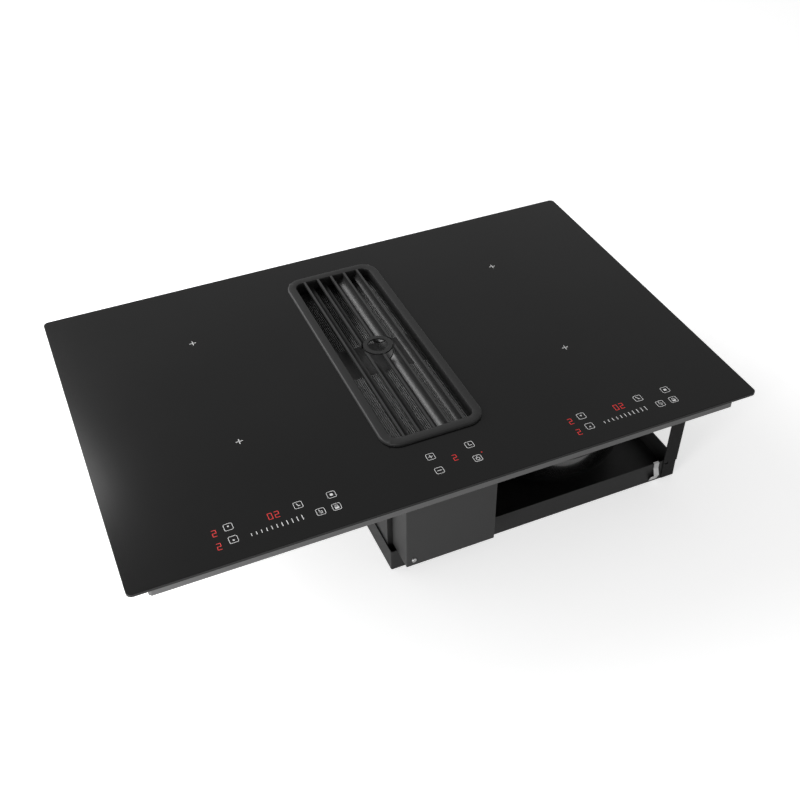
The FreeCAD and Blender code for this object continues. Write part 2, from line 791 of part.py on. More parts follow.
# ---------------------------------------------------------------- base frame and air box
base_floor = sheet
air_box_half_width = collar_outer_width / 2 + air_box_side_gap + air_box_wall
air_box_front = intake_y - collar_outer_length / 2 - air_box_end_gap - air_box_wall
air_box_back = intake_y + collar_outer_length / 2 + air_box_end_gap + air_box_wall
volute_y = air_box_front + volute_front_gap + volute_radius
volute_end_y = volute_y + volute_end_length
duct_right = volute_x + volute_radius + volute_lip
duct_left = duct_right - duct_width
base_left = -air_box_half_width - base_left_gap
base_right = duct_right + base_side_gap
base_front = air_box_front - base_front_gap
base_back = air_box_back + base_back_gap
duct_end_y = base_back + duct_reach
base_x = (base_left + base_right) / 2
base_y = (base_front + base_back) / 2
base_width = base_right - base_left
base_length = base_back - base_front
volute_bottom = base_floor + mount_pad_height
volute_seam = volute_bottom + volute_seam_height
volute_top = volute_bottom + volute_height
duct_under = volute_bottom - duct_drop
duct_top = duct_under + duct_height
hood_top = pan_under - hood_pan_gap
hood_under = volute_top
fan_x_centre = volute_x - volute_step / 2
fan_y_centre = volute_y - volute_step / 2


def make_base_frame():
    """Shallow tray with upturned walls; the rear wall is notched for the duct."""
    frame = plate(base_width, base_length, base_corner, base_x, base_y, 0, base_wall_height)
    frame = frame.cut(plate(base_width - 2 * sheet, base_length - 2 * sheet, base_corner - sheet,
                            base_x, base_y, base_floor, base_wall_height + 1))
    notch = block(duct_left - 2, duct_right + 2, base_back - 2 * sheet, base_back + 1,
                  duct_under - 1, duct_top)
    return frame.cut(notch)


def make_air_box():
    """Floor, left, front and rear plate of the duct under the grille."""
    left = -air_box_half_width
    right = air_box_half_width
    wall = air_box_wall
    floor_top = base_floor + wall
    floor = block(left, right, air_box_front, air_box_back, base_floor, floor_top)
    side = block(left, left + wall, air_box_front, air_box_back, floor_top, tray_floor_under)
    front = block(left + wall, right, air_box_front, air_box_front + wall, floor_top, tray_floor_under)
    back = block(left + wall, right, air_box_back - wall, air_box_back, floor_top, tray_floor_under)
    return floor, side, front, back


def make_window_plate():
    """Right plate of the duct, with the window to the blower's hood."""
    plate_left = air_box_half_width - air_box_wall
    side = block(plate_left, air_box_half_width, air_box_front + air_box_wall, air_box_back - air_box_wall,
                 base_floor + air_box_wall, tray_floor_under)
    return side.cut(block(plate_left - 1, air_box_half_width + 1,
                          fan_y_centre - hood_half_width + hood_wall,
                          fan_y_centre + hood_half_width - hood_wall,
                          hood_under + hood_wall, hood_top - hood_wall))


def make_drip_tray():
    """Lift-out tray that fits through the collar's shelf."""
    shrink = -collar_ledge - drip_clearance
    z0 = base_floor + air_box_wall
    tray = mouth_plate(shrink, z0, z0 + drip_height)
    return tray.cut(mouth_plate(shrink - drip_wall, z0 + drip_wall, z0 + drip_height + 1))


save("base_frame", make_base_frame())
save("air_box", *make_air_box())
save("air_box_window_plate", make_window_plate())
save("drip_tray", make_drip_tray())


# ---------------------------------------------------------------- blower
def scroll_plan(grow, y_end):
    """Plan of the scroll: three arcs of growing radius, the straight throat and the tongue.
    The arcs are laid out in short flat runs.  Plans of different grow match corner by corner."""
    wide = volute_radius + grow
    middle = wide - volute_step
    small = middle - volute_step
    turn = volute_tongue_radius - grow
    throat_left = volute_x + volute_radius - volute_throat_width - grow
    tongue_x = throat_left - turn
    tongue_y = volute_y - volute_step + small + turn

    def arc(x, y, radius, start, end):
        runs = max(1, round(abs(end - start) / scroll_run))
        turns = [math.radians(start + (end - start) * number / runs) for number in range(runs + 1)]
        return [(x + radius * math.cos(angle), y + radius * math.sin(angle)) for angle in turns]

    first = arc(volute_x, volute_y, wide, 0, -90)
    second = arc(volute_x, volute_y - volute_step, middle, -90, -180)
    third = arc(volute_x - volute_step, volute_y - volute_step, small, 180, 90)
    tongue = arc(tongue_x, tongue_y, turn, -90, 0)
    return [(volute_x + wide, y_end)] + first + second[1:] + third[1:] + tongue + [(throat_left, y_end)]


def make_volute_lower():
    """Deep shell whose lower edge is rounded in three bevels."""
    def body(grow, z0, z1, y_end, radius):
        loops = [at_level(scroll_plan(grow - inset, y_end), z0 + height)
                 for inset, height in round_bevels(radius)]
        return skin(*loops, at_level(scroll_plan(grow, y_end), z1)).removeSplitter()
    outer = body(0, volute_bottom, volute_seam, volute_end_y, volute_round)
    return outer.cut(body(-volute_wall, volute_bottom + volute_wall, volute_seam + 1, volute_end_y + 5,
                          volute_round - volute_wall))


def make_volute_upper():
    """Shallow shell that laps outside the lower one and holds the eye."""
    wide = scroll_plan(volute_lip, volute_end_y)
    narrow = scroll_plan(volute_lip - volute_top_bevel, volute_end_y)
    outer = skin(at_level(wide, volute_seam), at_level(wide, volute_top - volute_top_bevel),
                 at_level(narrow, volute_top)).removeSplitter()
    inner = prism(scroll_plan(-volute_wall, volute_end_y + 5), volute_seam - 1, volute_top - volute_wall)
    eye = sided_rod(fan_x_centre, fan_y_centre, eye_radius, round_sides, volute_seam, volute_top + 1)
    return outer.cut(inner).cut(eye)


def make_inlet_ring():
    """Bellmouth: a flange on the hood's floor, a funnel and a short throat into the wheel."""
    x, y = fan_x_centre, fan_y_centre
    z_flange = hood_under + hood_wall
    z_mouth = z_flange + inlet_wall
    z_throat = z_mouth - inlet_funnel_depth
    z_tail = impeller_top - inlet_dip
    mouth = eye_radius - 1
    throat = eye_throat_radius + inlet_wall

    def ring_at(radius, z):
        return at_level(sided_plan(x, y, radius, round_sides), z)

    flange = sided_rod(x, y, eye_radius + inlet_flange, round_sides, z_flange, z_mouth)
    funnel = skin(ring_at(throat, z_throat), ring_at(mouth, z_mouth))
    tail = sided_rod(x, y, throat, round_sides, z_tail, z_throat)
    bore = skin(ring_at(eye_throat_radius, z_throat), ring_at(mouth - inlet_wall, z_mouth))
    hole = sided_rod(x, y, eye_throat_radius, round_sides, z_tail - 1, z_throat)
    return flange.fuse([funnel, tail]).cut(bore).cut(hole).removeSplitter()


def make_hood():
    """Shallow duct from the air box's window to the blower's eye; its far corners are cut."""
    def outline(shrink, x0, z0, z1):
        half = hood_half_width - shrink
        cut = half * bevel_share
        x1 = fan_x_centre + half
        plan = [(x0, fan_y_centre - half), (x1 - cut, fan_y_centre - half), (x1, fan_y_centre - half + cut),
                (x1, fan_y_centre + half - cut), (x1 - cut, fan_y_centre + half), (x0, fan_y_centre + half)]
        return prism(plan, z0, z1)
    outer = outline(0, air_box_half_width, hood_under, hood_top)
    inner = outline(hood_wall, air_box_half_width - 1, hood_under + hood_wall, hood_top - hood_wall)
    eye = sided_rod(fan_x_centre, fan_y_centre, eye_radius, round_sides,
                    hood_under - 1, hood_under + hood_wall + 1)
    return outer.cut(inner).cut(eye)


impeller_under = volute_bottom + volute_wall + impeller_floor_gap
impeller_top = volute_top - volute_wall - impeller_top_gap
motor_top = volute_bottom + volute_wall + motor_height
cup_inner_radius = motor_radius + motor_gap
blade_inner_radius = impeller_radius - impeller_blade_depth


def blade_plan():
    """Outline of one blade in two straight runs; its tip leans forward, the way the wheel turns."""
    inner = blade_inner_radius
    lean = impeller_blade_depth / 3
    outer = math.sqrt((impeller_radius - 1.0) ** 2 - lean ** 2)
    middle = (inner + outer) / 2
    sag = lean / 2 - impeller_blade_depth / 4
    half = impeller_blade_thickness / 2
    return [(inner, -half), (middle, sag - half), (outer, lean - half),
            (outer, lean + half), (middle, sag + half), (inner, half)]


def make_impeller():
    """Forward-curved blower wheel: a floor ring, a cup over the motor, blades and a top ring."""
    sides = impeller_blades
    cup_top = motor_top + motor_gap + impeller_plate
    floor = sided_rod(0, 0, impeller_radius, sides, impeller_under, impeller_under + impeller_plate)
    cup = sided_rod(0, 0, cup_inner_radius + impeller_plate, sides, impeller_under, cup_top)
    hub = rod(0, 0, shaft_radius + 5, cup_top - impeller_plate, cup_top + motor_boss)
    rim = sided_rod(0, 0, impeller_radius, sides, impeller_top - impeller_plate, impeller_top)
    rim = rim.cut(sided_rod(0, 0, impeller_radius - impeller_rim_width, sides,
                            impeller_top - impeller_plate, impeller_top))
    blade = prism(blade_plan(), impeller_under + impeller_plate / 2, impeller_top - impeller_plate / 2)
    blades = []
    for number in range(impeller_blades):
        turned = blade.copy()
        turned.rotate(V(0, 0, 0), UP, number * 360.0 / impeller_blades)
        blades.append(turned)
    wheel = floor.fuse([cup, hub, rim] + blades)
    wheel = wheel.cut(sided_rod(0, 0, cup_inner_radius, sides, impeller_under - 1, cup_top - impeller_plate))
    wheel = wheel.cut(rod(0, 0, shaft_radius, impeller_under - 1, cup_top + motor_boss + 1)).removeSplitter()
    wheel.translate(V(fan_x_centre, fan_y_centre, 0))
    return wheel


def make_motor():
    x, y = fan_x_centre, fan_y_centre
    z0 = volute_bottom + volute_wall
    body_top = motor_top - impeller_plate
    wide = sided_plan(x, y, motor_radius, round_sides)
    narrow = sided_plan(x, y, motor_radius - motor_bevel, round_sides)
    body = skin(at_level(wide, z0), at_level(wide, body_top - motor_bevel), at_level(narrow, body_top))
    body = body.fuse(sided_rod(x, y, shaft_radius + motor_boss, round_sides // 2, body_top, motor_top))
    return body.cut(rod(x, y, shaft_radius + shaft_running_gap, z0 + 8, motor_top + 1))


def make_motor_shaft():
    z0 = volute_bottom + volute_wall + 9
    z1 = motor_top + motor_gap + impeller_plate + motor_boss
    return rod(fan_x_centre, fan_y_centre, shaft_radius, z0, z1)


def make_mount_pads():
    """Rubber pads between the blower and the base frame's floor."""
    places = [(fan_x_centre + dx * mount_pad_reach, fan_y_centre + dy * mount_pad_reach)
              for dx in (-1, 1) for dy in (-1, 1)]
    return [sided_rod(x, y, mount_pad_radius, mount_pad_sides, base_floor, volute_bottom) for x, y in places]


save("volute_lower", make_volute_lower())
save("volute_upper", make_volute_upper())
save("inlet_ring", make_inlet_ring())
save("suction_hood", make_hood())
save("impeller", make_impeller())
save("blower_motor", make_motor())
save("motor_shaft", make_motor_shaft())
save("vibration_pads", *make_mount_pads())


# ---------------------------------------------------------------- outlet duct
def section(y, x0, x1, z0, z1, low, high):
    """Corners of an upright rectangle at y; its lower and upper rounds are three bevels each."""
    lower = round_bevels(low)
    upper = round_bevels(high)
    plan = [(x1 - inset, z0 + height) for inset, height in lower]
    plan += [(x1 - inset, z1 - height) for inset, height in reversed(upper)]
    plan += [(x0 + inset, z1 - height) for inset, height in upper]
    plan += [(x0 + inset, z0 + height) for inset, height in reversed(lower)]
    return [V(x, y, z) for x, z in plan]


def make_outlet_duct():
    """Widens from the blower's throat to a flat-duct spigot that leaves at the back."""
    flare_end = duct_end_y - spigot_length
    right = volute_x + volute_radius + volute_lip
    left = volute_x + volute_radius - volute_throat_width - volute_lip

    def body(shrink, y0, y2):
        small = section(y0, left + shrink, right - shrink, volute_bottom + shrink, volute_top - shrink,
                        volute_round - shrink, duct_corner - shrink)
        large = section(flare_end, duct_left + shrink, duct_right - shrink, duct_under + shrink,
                        duct_top - shrink, duct_corner - shrink, duct_corner - shrink)
        return skin(small, large, [V(point.x, y2, point.z) for point in large])

    return body(0, volute_end_y, duct_end_y).cut(body(duct_wall, volute_end_y, duct_end_y))


save("outlet_duct", make_outlet_duct())


# ---------------------------------------------------------------- posts, clip and control box
rear_post_width = base_side_gap - post_duct_gap


def make_post(corner_x, corner_y, side, end, width, lean, slot):
    """Angle that ties a corner of the base frame to the pan.  side and end say which corner."""
    x_in = corner_x - side * width
    x_wing = corner_x + side * post_sheet
    face_y0, face_y1 = sorted((corner_y, corner_y + end * post_sheet))

    def upright(near, far, z0, y0, y1):
        """Slab between two x values that leans sideways above the base frame's wall."""
        points = [(near, z0), (far, z0), (far, base_wall_height), (far + side * lean, tray_floor_under),
                  (near + side * lean, tray_floor_under), (near, base_wall_height)]
        corners = [V(x, y0, z) for x, z in points]
        return Part.Face(Part.makePolygon(corners + corners[:1])).extrude(V(0, y1 - y0, 0))

    wing_y0, wing_y1 = sorted((corner_y + end * post_sheet, corner_y - end * post_width))
    leg = upright(x_in, corner_x, sheet, face_y0, face_y1)
    wing = upright(corner_x, x_wing, base_wall_height - post_lap, wing_y0, wing_y1)
    post = leg.fuse(wing).removeSplitter()
    if slot:
        slot_z = base_wall_height - 2
        slot_x0, slot_x1 = sorted((x_in + side * 2, x_in + side * 8))
        post = post.cut(block(slot_x0, slot_x1, face_y0 - 1, face_y1 + 1, slot_z - 5, slot_z))
    return post


def make_clip():
    """Spring strip over the front wall of the base frame, bowed out, with a hook at the foot."""
    wall_in = base_front + sheet
    top = base_wall_height + clip_sheet
    out = base_front - clip_sheet
    t = clip_sheet
    right = base_right - clip_corner_gap
    left = right - clip_width
    bow = base_front - clip_bow_depth
    toe = [(bow, clip_bow), (base_front, clip_foot), (out, clip_foot - t / 2), (bow - t, clip_bow)]
    leg = base_wall_height - clip_lap
    outline = [(wall_in, leg), (wall_in, base_wall_height), (base_front, base_wall_height),
               (base_front, clip_grip)] + toe + [(out, clip_grip + t / 2), (out, top),
                                                 (wall_in + t, top), (wall_in + t, leg)]
    return profile(outline, left, right).fuse(profile(toe, left - clip_hook, left)).removeSplitter()


control_back = air_box_front - control_air_gap
control_front = control_back - control_length
control_low = base_wall_height + control_lift
gland_y = (control_front + control_back) / 2
gland_z = below(gland_depth)


def along_x(radius, x0, x1, sides=0):
    """Bar along X on the gland's axis, round or many-sided."""
    if not sides:
        return Part.makeCylinder(radius, x1 - x0, V(x0, gland_y, gland_z), V(1, 0, 0))
    points = [(gland_y + dy, gland_z + dz) for dy, dz in sided_plan(0, 0, radius, sides)]
    return profile(points, x0, x1)


def make_control_box():
    """Sheet housing with an open front; the mains gland enters its right wall."""
    body = block(-control_half_width, control_half_width, control_front + cover_thickness,
                 control_back, control_low, tray_floor_under)
    body = body.cut(block(-control_half_width + sheet, control_half_width - sheet,
                          control_front, control_back - sheet, control_low + sheet, tray_floor_under - sheet))
    for x, z in cover_screw_places():
        x0, x1 = sorted((x - math.copysign(5, x), math.copysign(control_half_width, x)))
        body = body.fuse(block(x0, x1, control_front + cover_thickness, control_front + cover_thickness + 6,
                               z - 5, z + 5))
    hole = along_x(gland_neck_radius, control_half_width - 5, control_half_width + 1, gland_sides)
    return body.cut(hole).removeSplitter()


def cover_screw_places():
    low = control_low + screw_inset
    high = tray_floor_under - screw_inset
    reach = control_half_width - screw_inset
    return [(-reach, low), (reach, high)]


def make_control_cover():
    cover = block(-control_half_width, control_half_width, control_front,
                  control_front + cover_thickness, control_low, tray_floor_under)
    upright = [e for e in cover.Edges if abs(e.tangentAt(e.FirstParameter).z) > 0.9
               and e.BoundBox.YMax < control_front + 1e-3]
    return cover.makeFillet(cover_edge_round, upright)


def make_gland():
    """Cable gland: a hexagon outside the wall with a round cap, a nut inside, and an open bore."""
    wall = control_half_width
    inside = wall - sheet - gland_nut_thickness
    body = along_x(gland_radius, wall, wall + gland_length - gland_cap_length, 6)
    cap = along_x(gland_cap_radius, wall + gland_length - gland_cap_length, wall + gland_length, gland_sides)
    neck = along_x(gland_neck_radius, wall - sheet, wall, gland_sides)
    nut = along_x(gland_radius, inside, wall - sheet, 6)
    bore = along_x(gland_bore_radius, inside - 1, wall + gland_length + 1)
    return body.fuse([cap, neck, nut]).cut(bore).removeSplitter()


board_back = control_back - sheet - standoff_length
board_low = control_low + control_board_low_gap


def make_control_board():
    z1 = tray_floor_under - control_board_top_gap
    reach = control_half_width - control_board_margin
    half = standoff_width / 2
    board = block(-reach, reach, board_back - board_thickness, board_back, board_low, z1)
    feet = [block(x - half, x + half, board_back, board_back + standoff_length, z - half, z + half)
            for x in (-reach + standoff_width, reach - standoff_width)
            for z in (board_low + standoff_width, z1 - standoff_width)]
    return board.fuse(feet).removeSplitter()


def make_terminal_block():
    y1 = board_back - board_thickness
    y0 = y1 - terminal_length
    z0 = board_low + terminal_rise
    half = terminal_opening / 2
    pitch = terminal_width / terminal_poles
    body = block(terminal_left, terminal_left + terminal_width, y0, y1, z0, z0 + terminal_height)
    z = z0 + terminal_height / 2
    holes = []
    for number in range(terminal_poles):
        x = terminal_left + (number + 0.5) * pitch
        holes.append(block(x - half, x + half, y0 - 1, y0 + terminal_opening_depth, z - half, z + half))
    return body.cut(holes)


save("front_right_post", make_post(base_right, base_front, 1, -1, post_width, post_lean, True))
save("rear_right_post", make_post(base_right, base_back, 1, 1, rear_post_width, 0, False))
save("rear_left_post", make_post(base_left, base_back, -1, 1, rear_post_width, 0, False))
save("spring_clip", make_clip())
save("control_box", make_control_box())
save("control_box_cover", make_control_cover())
save("cable_gland", make_gland())
save("control_board", make_control_board())
save("terminal_block", make_terminal_block())


# ---------------------------------------------------------------- worktop clamps
def make_clamp(side, y):
    """Bent bracket screwed to the pan's side; its free leg presses up under the worktop."""
    x_wall = side * tray_width / 2
    x_far = x_wall + side * clamp_reach
    z_top = glass_under - seal_thickness - 2
    x0, x1 = sorted((x_wall, x_wall + side * clamp_sheet))
    back = block(x0, x1, y - clamp_width / 2, y + clamp_width / 2, z_top - clamp_drop, z_top)
    f0, f1 = sorted((x_wall, x_far))
    foot = block(f0, f1, y - clamp_width / 2, y + clamp_width / 2, z_top - clamp_drop,
                 z_top - clamp_drop + clamp_sheet)
    t0, t1 = sorted((x_far - side * clamp_sheet, x_far))
    toe = block(t0, t1, y - clamp_width / 2, y + clamp_width / 2, z_top - clamp_drop,
                z_top - clamp_drop + clamp_toe)
    return back.fuse([foot, toe]).removeSplitter()


save("worktop_clamps", *[make_clamp(side, y) for side, y in clamp_places()])
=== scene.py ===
"""Studio scene of a downdraft induction cooktop, built round its CAD frame."""
import functools
import json
import math

import bmesh
import bpy
from bpy.props import FloatProperty, FloatVectorProperty, IntProperty, PointerProperty
from mathutils import Matrix, Vector


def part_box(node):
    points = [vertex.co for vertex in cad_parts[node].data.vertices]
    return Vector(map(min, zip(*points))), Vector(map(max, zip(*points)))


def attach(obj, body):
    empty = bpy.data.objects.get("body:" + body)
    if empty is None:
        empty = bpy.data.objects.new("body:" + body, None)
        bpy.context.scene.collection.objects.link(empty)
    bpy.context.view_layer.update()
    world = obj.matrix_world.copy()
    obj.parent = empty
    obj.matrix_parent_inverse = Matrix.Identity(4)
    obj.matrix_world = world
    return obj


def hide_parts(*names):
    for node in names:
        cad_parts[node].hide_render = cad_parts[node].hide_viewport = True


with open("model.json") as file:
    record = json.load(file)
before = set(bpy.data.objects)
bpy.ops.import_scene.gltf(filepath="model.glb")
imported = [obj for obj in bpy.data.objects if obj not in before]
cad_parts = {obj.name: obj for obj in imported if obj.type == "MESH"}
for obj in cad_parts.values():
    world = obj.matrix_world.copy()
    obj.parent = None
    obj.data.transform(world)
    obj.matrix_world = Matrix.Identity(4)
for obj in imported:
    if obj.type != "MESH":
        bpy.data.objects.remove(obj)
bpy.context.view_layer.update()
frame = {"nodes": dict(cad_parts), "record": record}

bl_info = {
    "name": "Downdraft cooktop",
    "version": (1, 0, 0),
    "blender": (4, 5, 0),
    "location": "3D View > Sidebar > Cooktop",
    "description": "Builds the finishes, printed marks, fine pieces and studio of a cooktop",
    "category": "Object",
}

MM = 0.001
NEAR = 0.01 * MM  # tolerance when edges are picked by their place
GLASS_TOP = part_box("glass_top")[1][2]
PRINT_LEVEL = GLASS_TOP + 0.01 * MM  # underside of what is printed on the glass
HOUSING = "housing"


# ---------------------------------------------------------------- sizes and colours
def length(name, what, default):
    """Length in metres, as a setting in the sidebar."""
    return FloatProperty(name=name, description=what, default=default, unit="LENGTH", min=0.0,
                         precision=5)


def amount(name, what, default):
    """Power, strength or share that isn't negative."""
    return FloatProperty(name=name, description=what, default=default, min=0.0)


def angle(name, what, degrees):
    """Angle, given in degrees."""
    return FloatProperty(name=name, description=what, default=math.radians(degrees),
                         subtype="ANGLE")


def tint(name, what, value):
    """Colour, given as a grey level or as red, green and blue."""
    colour = value if isinstance(value, tuple) else grey(value)
    return FloatVectorProperty(name=name, description=what, default=colour, subtype="COLOR",
                               size=3, min=0.0, max=1.0)


def grey(level):
    return (level, level, level)


class CooktopMarks(bpy.types.PropertyGroup):
    """Sizes of what is printed on the glass"""
    key_size: length("Key field", "Side of one square key field", 10.6 * MM)
    key_line: length("Key line", "Width of the printed outline", 0.62 * MM)
    key_round: length("Key corner", "Corner radius of a key field", 2.2 * MM)
    ink: length("Ink", "Thickness of the printed ink", 0.03 * MM)
    group_gap: length("Group distance", "From the left to the right control group", 450.0 * MM)
    digit_height: length("Digit height", "Height of one display digit", 9.2 * MM)
    digit_width: length("Digit width", "Width of one display digit", 4.6 * MM)
    digit_bar: length("Digit bar", "Width of one display segment", 0.8 * MM)
    slider_ticks: IntProperty(name="Slider ticks", description="Marks of one power slider",
                              default=11, min=2)
    tick_pitch: length("Tick pitch", "Distance between slider marks", 6.0 * MM)
    tick_low: length("Short tick", "Length of the first slider mark", 4.1 * MM)
    tick_high: length("Long tick", "Length of the last slider mark", 7.7 * MM)


class CooktopFilter(bpy.types.PropertyGroup):
    """Sizes of the woven filter panels"""
    wire_pitch: length("Wire pitch", "Distance between the wires of the mesh", 2.5 * MM)
    wire_width: length("Wire width", "Width of one wire of the mesh", 1.3 * MM)
    wire_flat: FloatProperty(name="Wire flatness", default=0.25, min=0.05, max=1.0,
                             description="Height of a wire as a share of its width")


class CooktopShells(bpy.types.PropertyGroup):
    """Sizes of the rim, the blower's shells and the screws"""
    rim_width: length("Rim width", "Width of the grille's flat rim", 11.7 * MM)
    rim_corner: length("Rim corner", "Outer corner radius of the rim", 24.0 * MM)
    rim_round: length("Rim round", "Radius of the rim's outer edge", 2.2 * MM)
    skirt_wall: length("Skirt wall", "Wall of the skirt under the rim", 2.5 * MM)
    scroll_round: length("Scroll round", "Radius of the scroll's lower edge", 26.0 * MM)
    scroll_wall: length("Scroll wall", "Wall of the scroll's shells", 2.2 * MM)
    scroll_lip: length("Scroll lap", "Upper shell outside the lower one", 2.0 * MM)
    screw_radius: length("Screw head", "Radius of a pan screw's head", 3.2 * MM)
    screw_height: length("Screw height", "Height of a pan screw's head", 1.8 * MM)


class CooktopColours(bpy.types.PropertyGroup):
    """Colours of the cooktop's finishes"""
    glass: tint("Glass", "Black glass-ceramic", 0.006)
    ink: tint("Print", "Printed marks on the glass", 0.80)
    digits: tint("Digits", "Lit display segments", (0.52, 0.022, 0.022))
    grille: tint("Grille", "Powder coat of the intake grille", 0.019)
    blades: tint("Blades", "Smoother coat of the grille's blades", 0.075)
    zinc: tint("Zinc", "Zinc-plated sheet steel", 0.15)
    black_coat: tint("Black coat", "Black coat of the boxes", 0.031)
    # Painted shade: the boxes' black coat made darker for the base frame.
    frame_coat_painted_shade: tint("Frame coat", "Black coat of the base frame", 0.017)
    plastic: tint("Plastic", "Moulded black plastic", 0.014)


class CooktopStudio(bpy.types.PropertyGroup):
    """Camera, lights and floor"""
    lens: FloatProperty(name="Lens", description="Focal length on a 36 mm frame", default=48.47,
                        min=1.0)
    camera_place: FloatVectorProperty(name="Camera", description="Where the camera stands",
                                      size=3, default=(-0.4140, -1.0322, 1.0837),
                                      subtype="TRANSLATION")
    azimuth: angle("Azimuth", "Turn of the view about the vertical", -22.89)
    elevation: angle("Elevation", "Height of the view above the horizon", 40.76)
    roll: angle("Roll", "Tilt of the picture", -0.88)
    key_power: amount("Key light", "Power of the high lamp", 40.0)
    side_power: amount("Side light", "Power of the side lamp", 8.0)
    sky: amount("Sky", "Strength of the even light", 0.36)
    mirror_sky: amount("Mirrored sky", "Brightness of the sky in gloss", 0.46)
    horizon: amount("Mirrored horizon", "Brightness of the horizon in gloss", 1.0)
    floor_grey: tint("Floor", "Colour of the floor", 0.90)
    floor_glow: amount("Floor glow", "Lift of the floor towards white", 0.55)


# ---------------------------------------------------------------- nodes
NUMBER, COLOUR, VECTOR = "NodeSocketFloat", "NodeSocketColor", "NodeSocketVector"
MIX_FACTOR, MIX_FIRST, MIX_SECOND = 0, 6, 7  # inputs of a Mix node that mixes colours
MIX_RESULT = 2


def feed(tree, socket, value):
    """Links an input to another node's output, or sets its value."""
    if isinstance(value, bpy.types.NodeSocket):
        tree.links.new(value, socket)
    else:
        socket.default_value = value


def math_node(tree, operation, *values):
    """Output of a Math node on the given values or sockets."""
    node = tree.nodes.new("ShaderNodeMath")
    node.operation = operation
    for number, value in enumerate(values):
        feed(tree, node.inputs[number], value)
    return node.outputs[0]


def vector_node(tree, operation, output, **values):
    """Output of a Vector Math node; its inputs are named first, second and scale."""
    node = tree.nodes.new("ShaderNodeVectorMath")
    node.operation = operation
    places = {"first": 0, "second": 1, "scale": "Scale"}
    for name, value in values.items():
        feed(tree, node.inputs[places[name]], value)
    return node.outputs[output]


def mix_colour(tree, factor, first, second):
    """Colour between two others."""
    node = tree.nodes.new("ShaderNodeMix")
    node.data_type = "RGBA"
    for number, value in ((MIX_FACTOR, factor), (MIX_FIRST, first), (MIX_SECOND, second)):
        feed(tree, node.inputs[number], value)
    return node.outputs[MIX_RESULT]


def object_place(tree):
    """Object coordinates."""
    return tree.nodes.new("ShaderNodeTexCoord").outputs["Object"]


def noise(tree, place, scale, detail):
    """Cloudy pattern from 0 to 1."""
    node = tree.nodes.new("ShaderNodeTexNoise")
    feed(tree, node.inputs["Vector"], place)
    feed(tree, node.inputs["Scale"], scale)
    node.inputs["Detail"].default_value = detail
    return node.outputs["Fac"]


def centred(tree, value):
    """A value from 0 to 1, spread from -1 to 1."""
    return math_node(tree, "MULTIPLY", math_node(tree, "SUBTRACT", value, 0.5), 2.0)


def smooth_step(tree, value, start, end, low=0.0, high=1.0):
    """Soft change from low to high while the value goes from start to end."""
    node = tree.nodes.new("ShaderNodeMapRange")
    node.interpolation_type = "SMOOTHSTEP"
    for name, number in (("From Min", start), ("From Max", end), ("To Min", low), ("To Max", high)):
        node.inputs[name].default_value = number
    feed(tree, node.inputs["Value"], value)
    return node.outputs["Result"]


# ---------------------------------------------------------------- node groups
def new_group(name, inputs, outputs):
    """Empty node group: inputs as (name, kind, default), outputs as (name, kind)."""
    group = bpy.data.node_groups.new(name, "ShaderNodeTree")
    for label, kind, default in inputs:
        socket = group.interface.new_socket(name=label, in_out="INPUT", socket_type=kind)
        socket.default_value = default
    for label, kind in outputs:
        group.interface.new_socket(name=label, in_out="OUTPUT", socket_type=kind)
    entry = group.nodes.new("NodeGroupInput").outputs
    leave = group.nodes.new("NodeGroupOutput").inputs
    return group, entry, leave


def build_grain_group():
    """Fine surface grain: a mottled colour, an uneven roughness and a height."""
    group, entry, leave = new_group(
        "Surface grain",
        [("Colour", COLOUR, (0.5, 0.5, 0.5, 1)), ("Mottle", NUMBER, 0.1),
         ("Grain size", NUMBER, 900.0), ("Patch size", NUMBER, 14.0),
         ("Roughness", NUMBER, 0.5), ("Unevenness", NUMBER, 0.08)],
        [("Colour", COLOUR), ("Roughness", NUMBER), ("Height", NUMBER)])
    place = object_place(group)
    fine = noise(group, place, entry["Grain size"], 3.0)
    patches = centred(group, noise(group, place, entry["Patch size"], 4.0))
    shade = math_node(group, "MULTIPLY_ADD", patches, entry["Mottle"], 1.0)
    specks = math_node(group, "SUBTRACT", fine, 0.5)
    factor = math_node(group, "MULTIPLY_ADD", specks, entry["Mottle"], shade)
    colour = vector_node(group, "SCALE", "Vector", first=entry["Colour"], scale=factor)
    rough = math_node(group, "MULTIPLY_ADD", patches, entry["Unevenness"], entry["Roughness"])
    group.links.new(colour, leave["Colour"])
    group.links.new(rough, leave["Roughness"])
    group.links.new(fine, leave["Height"])
    return group


def build_edge_wear_and_highlight_group():
    """Light line along hard edges, partly wear and partly painted highlight: a mask from a rounded
    normal against the true one.
    """
    group, entry, leave = new_group(
        "Edge wear", [("Width", NUMBER, 0.0006), ("Amount", NUMBER, 0.5)], [("Mask", NUMBER)])
    rounded = group.nodes.new("ShaderNodeBevel")
    rounded.samples = 4
    group.links.new(entry["Width"], rounded.inputs["Radius"])
    true = group.nodes.new("ShaderNodeNewGeometry")
    level = vector_node(group, "DOT_PRODUCT", "Value", first=rounded.outputs["Normal"],
                        second=true.outputs["Normal"])
    bend = math_node(group, "MULTIPLY", math_node(group, "SUBTRACT", 1.0, level), 4.0)
    breaks = noise(group, object_place(group), 60.0, 3.0)
    worn_and_lit = math_node(group, "MULTIPLY", bend, breaks)
    mask = math_node(group, "MULTIPLY", worn_and_lit, entry["Amount"])
    group.links.new(math_node(group, "MINIMUM", mask, 1.0), leave["Mask"])
    return group


# Painted shade: the filter's left rear is darkened in its colour, where the rim and blades cast
# their shadow.
SHADE_SLANT = -1.875  # slope of the painted shade's edge across the filter
SHADE_START, SHADE_END = 0.075, 0.145  # where the painted shade sets in and where it is full
SHADE_RAGGED = 0.03


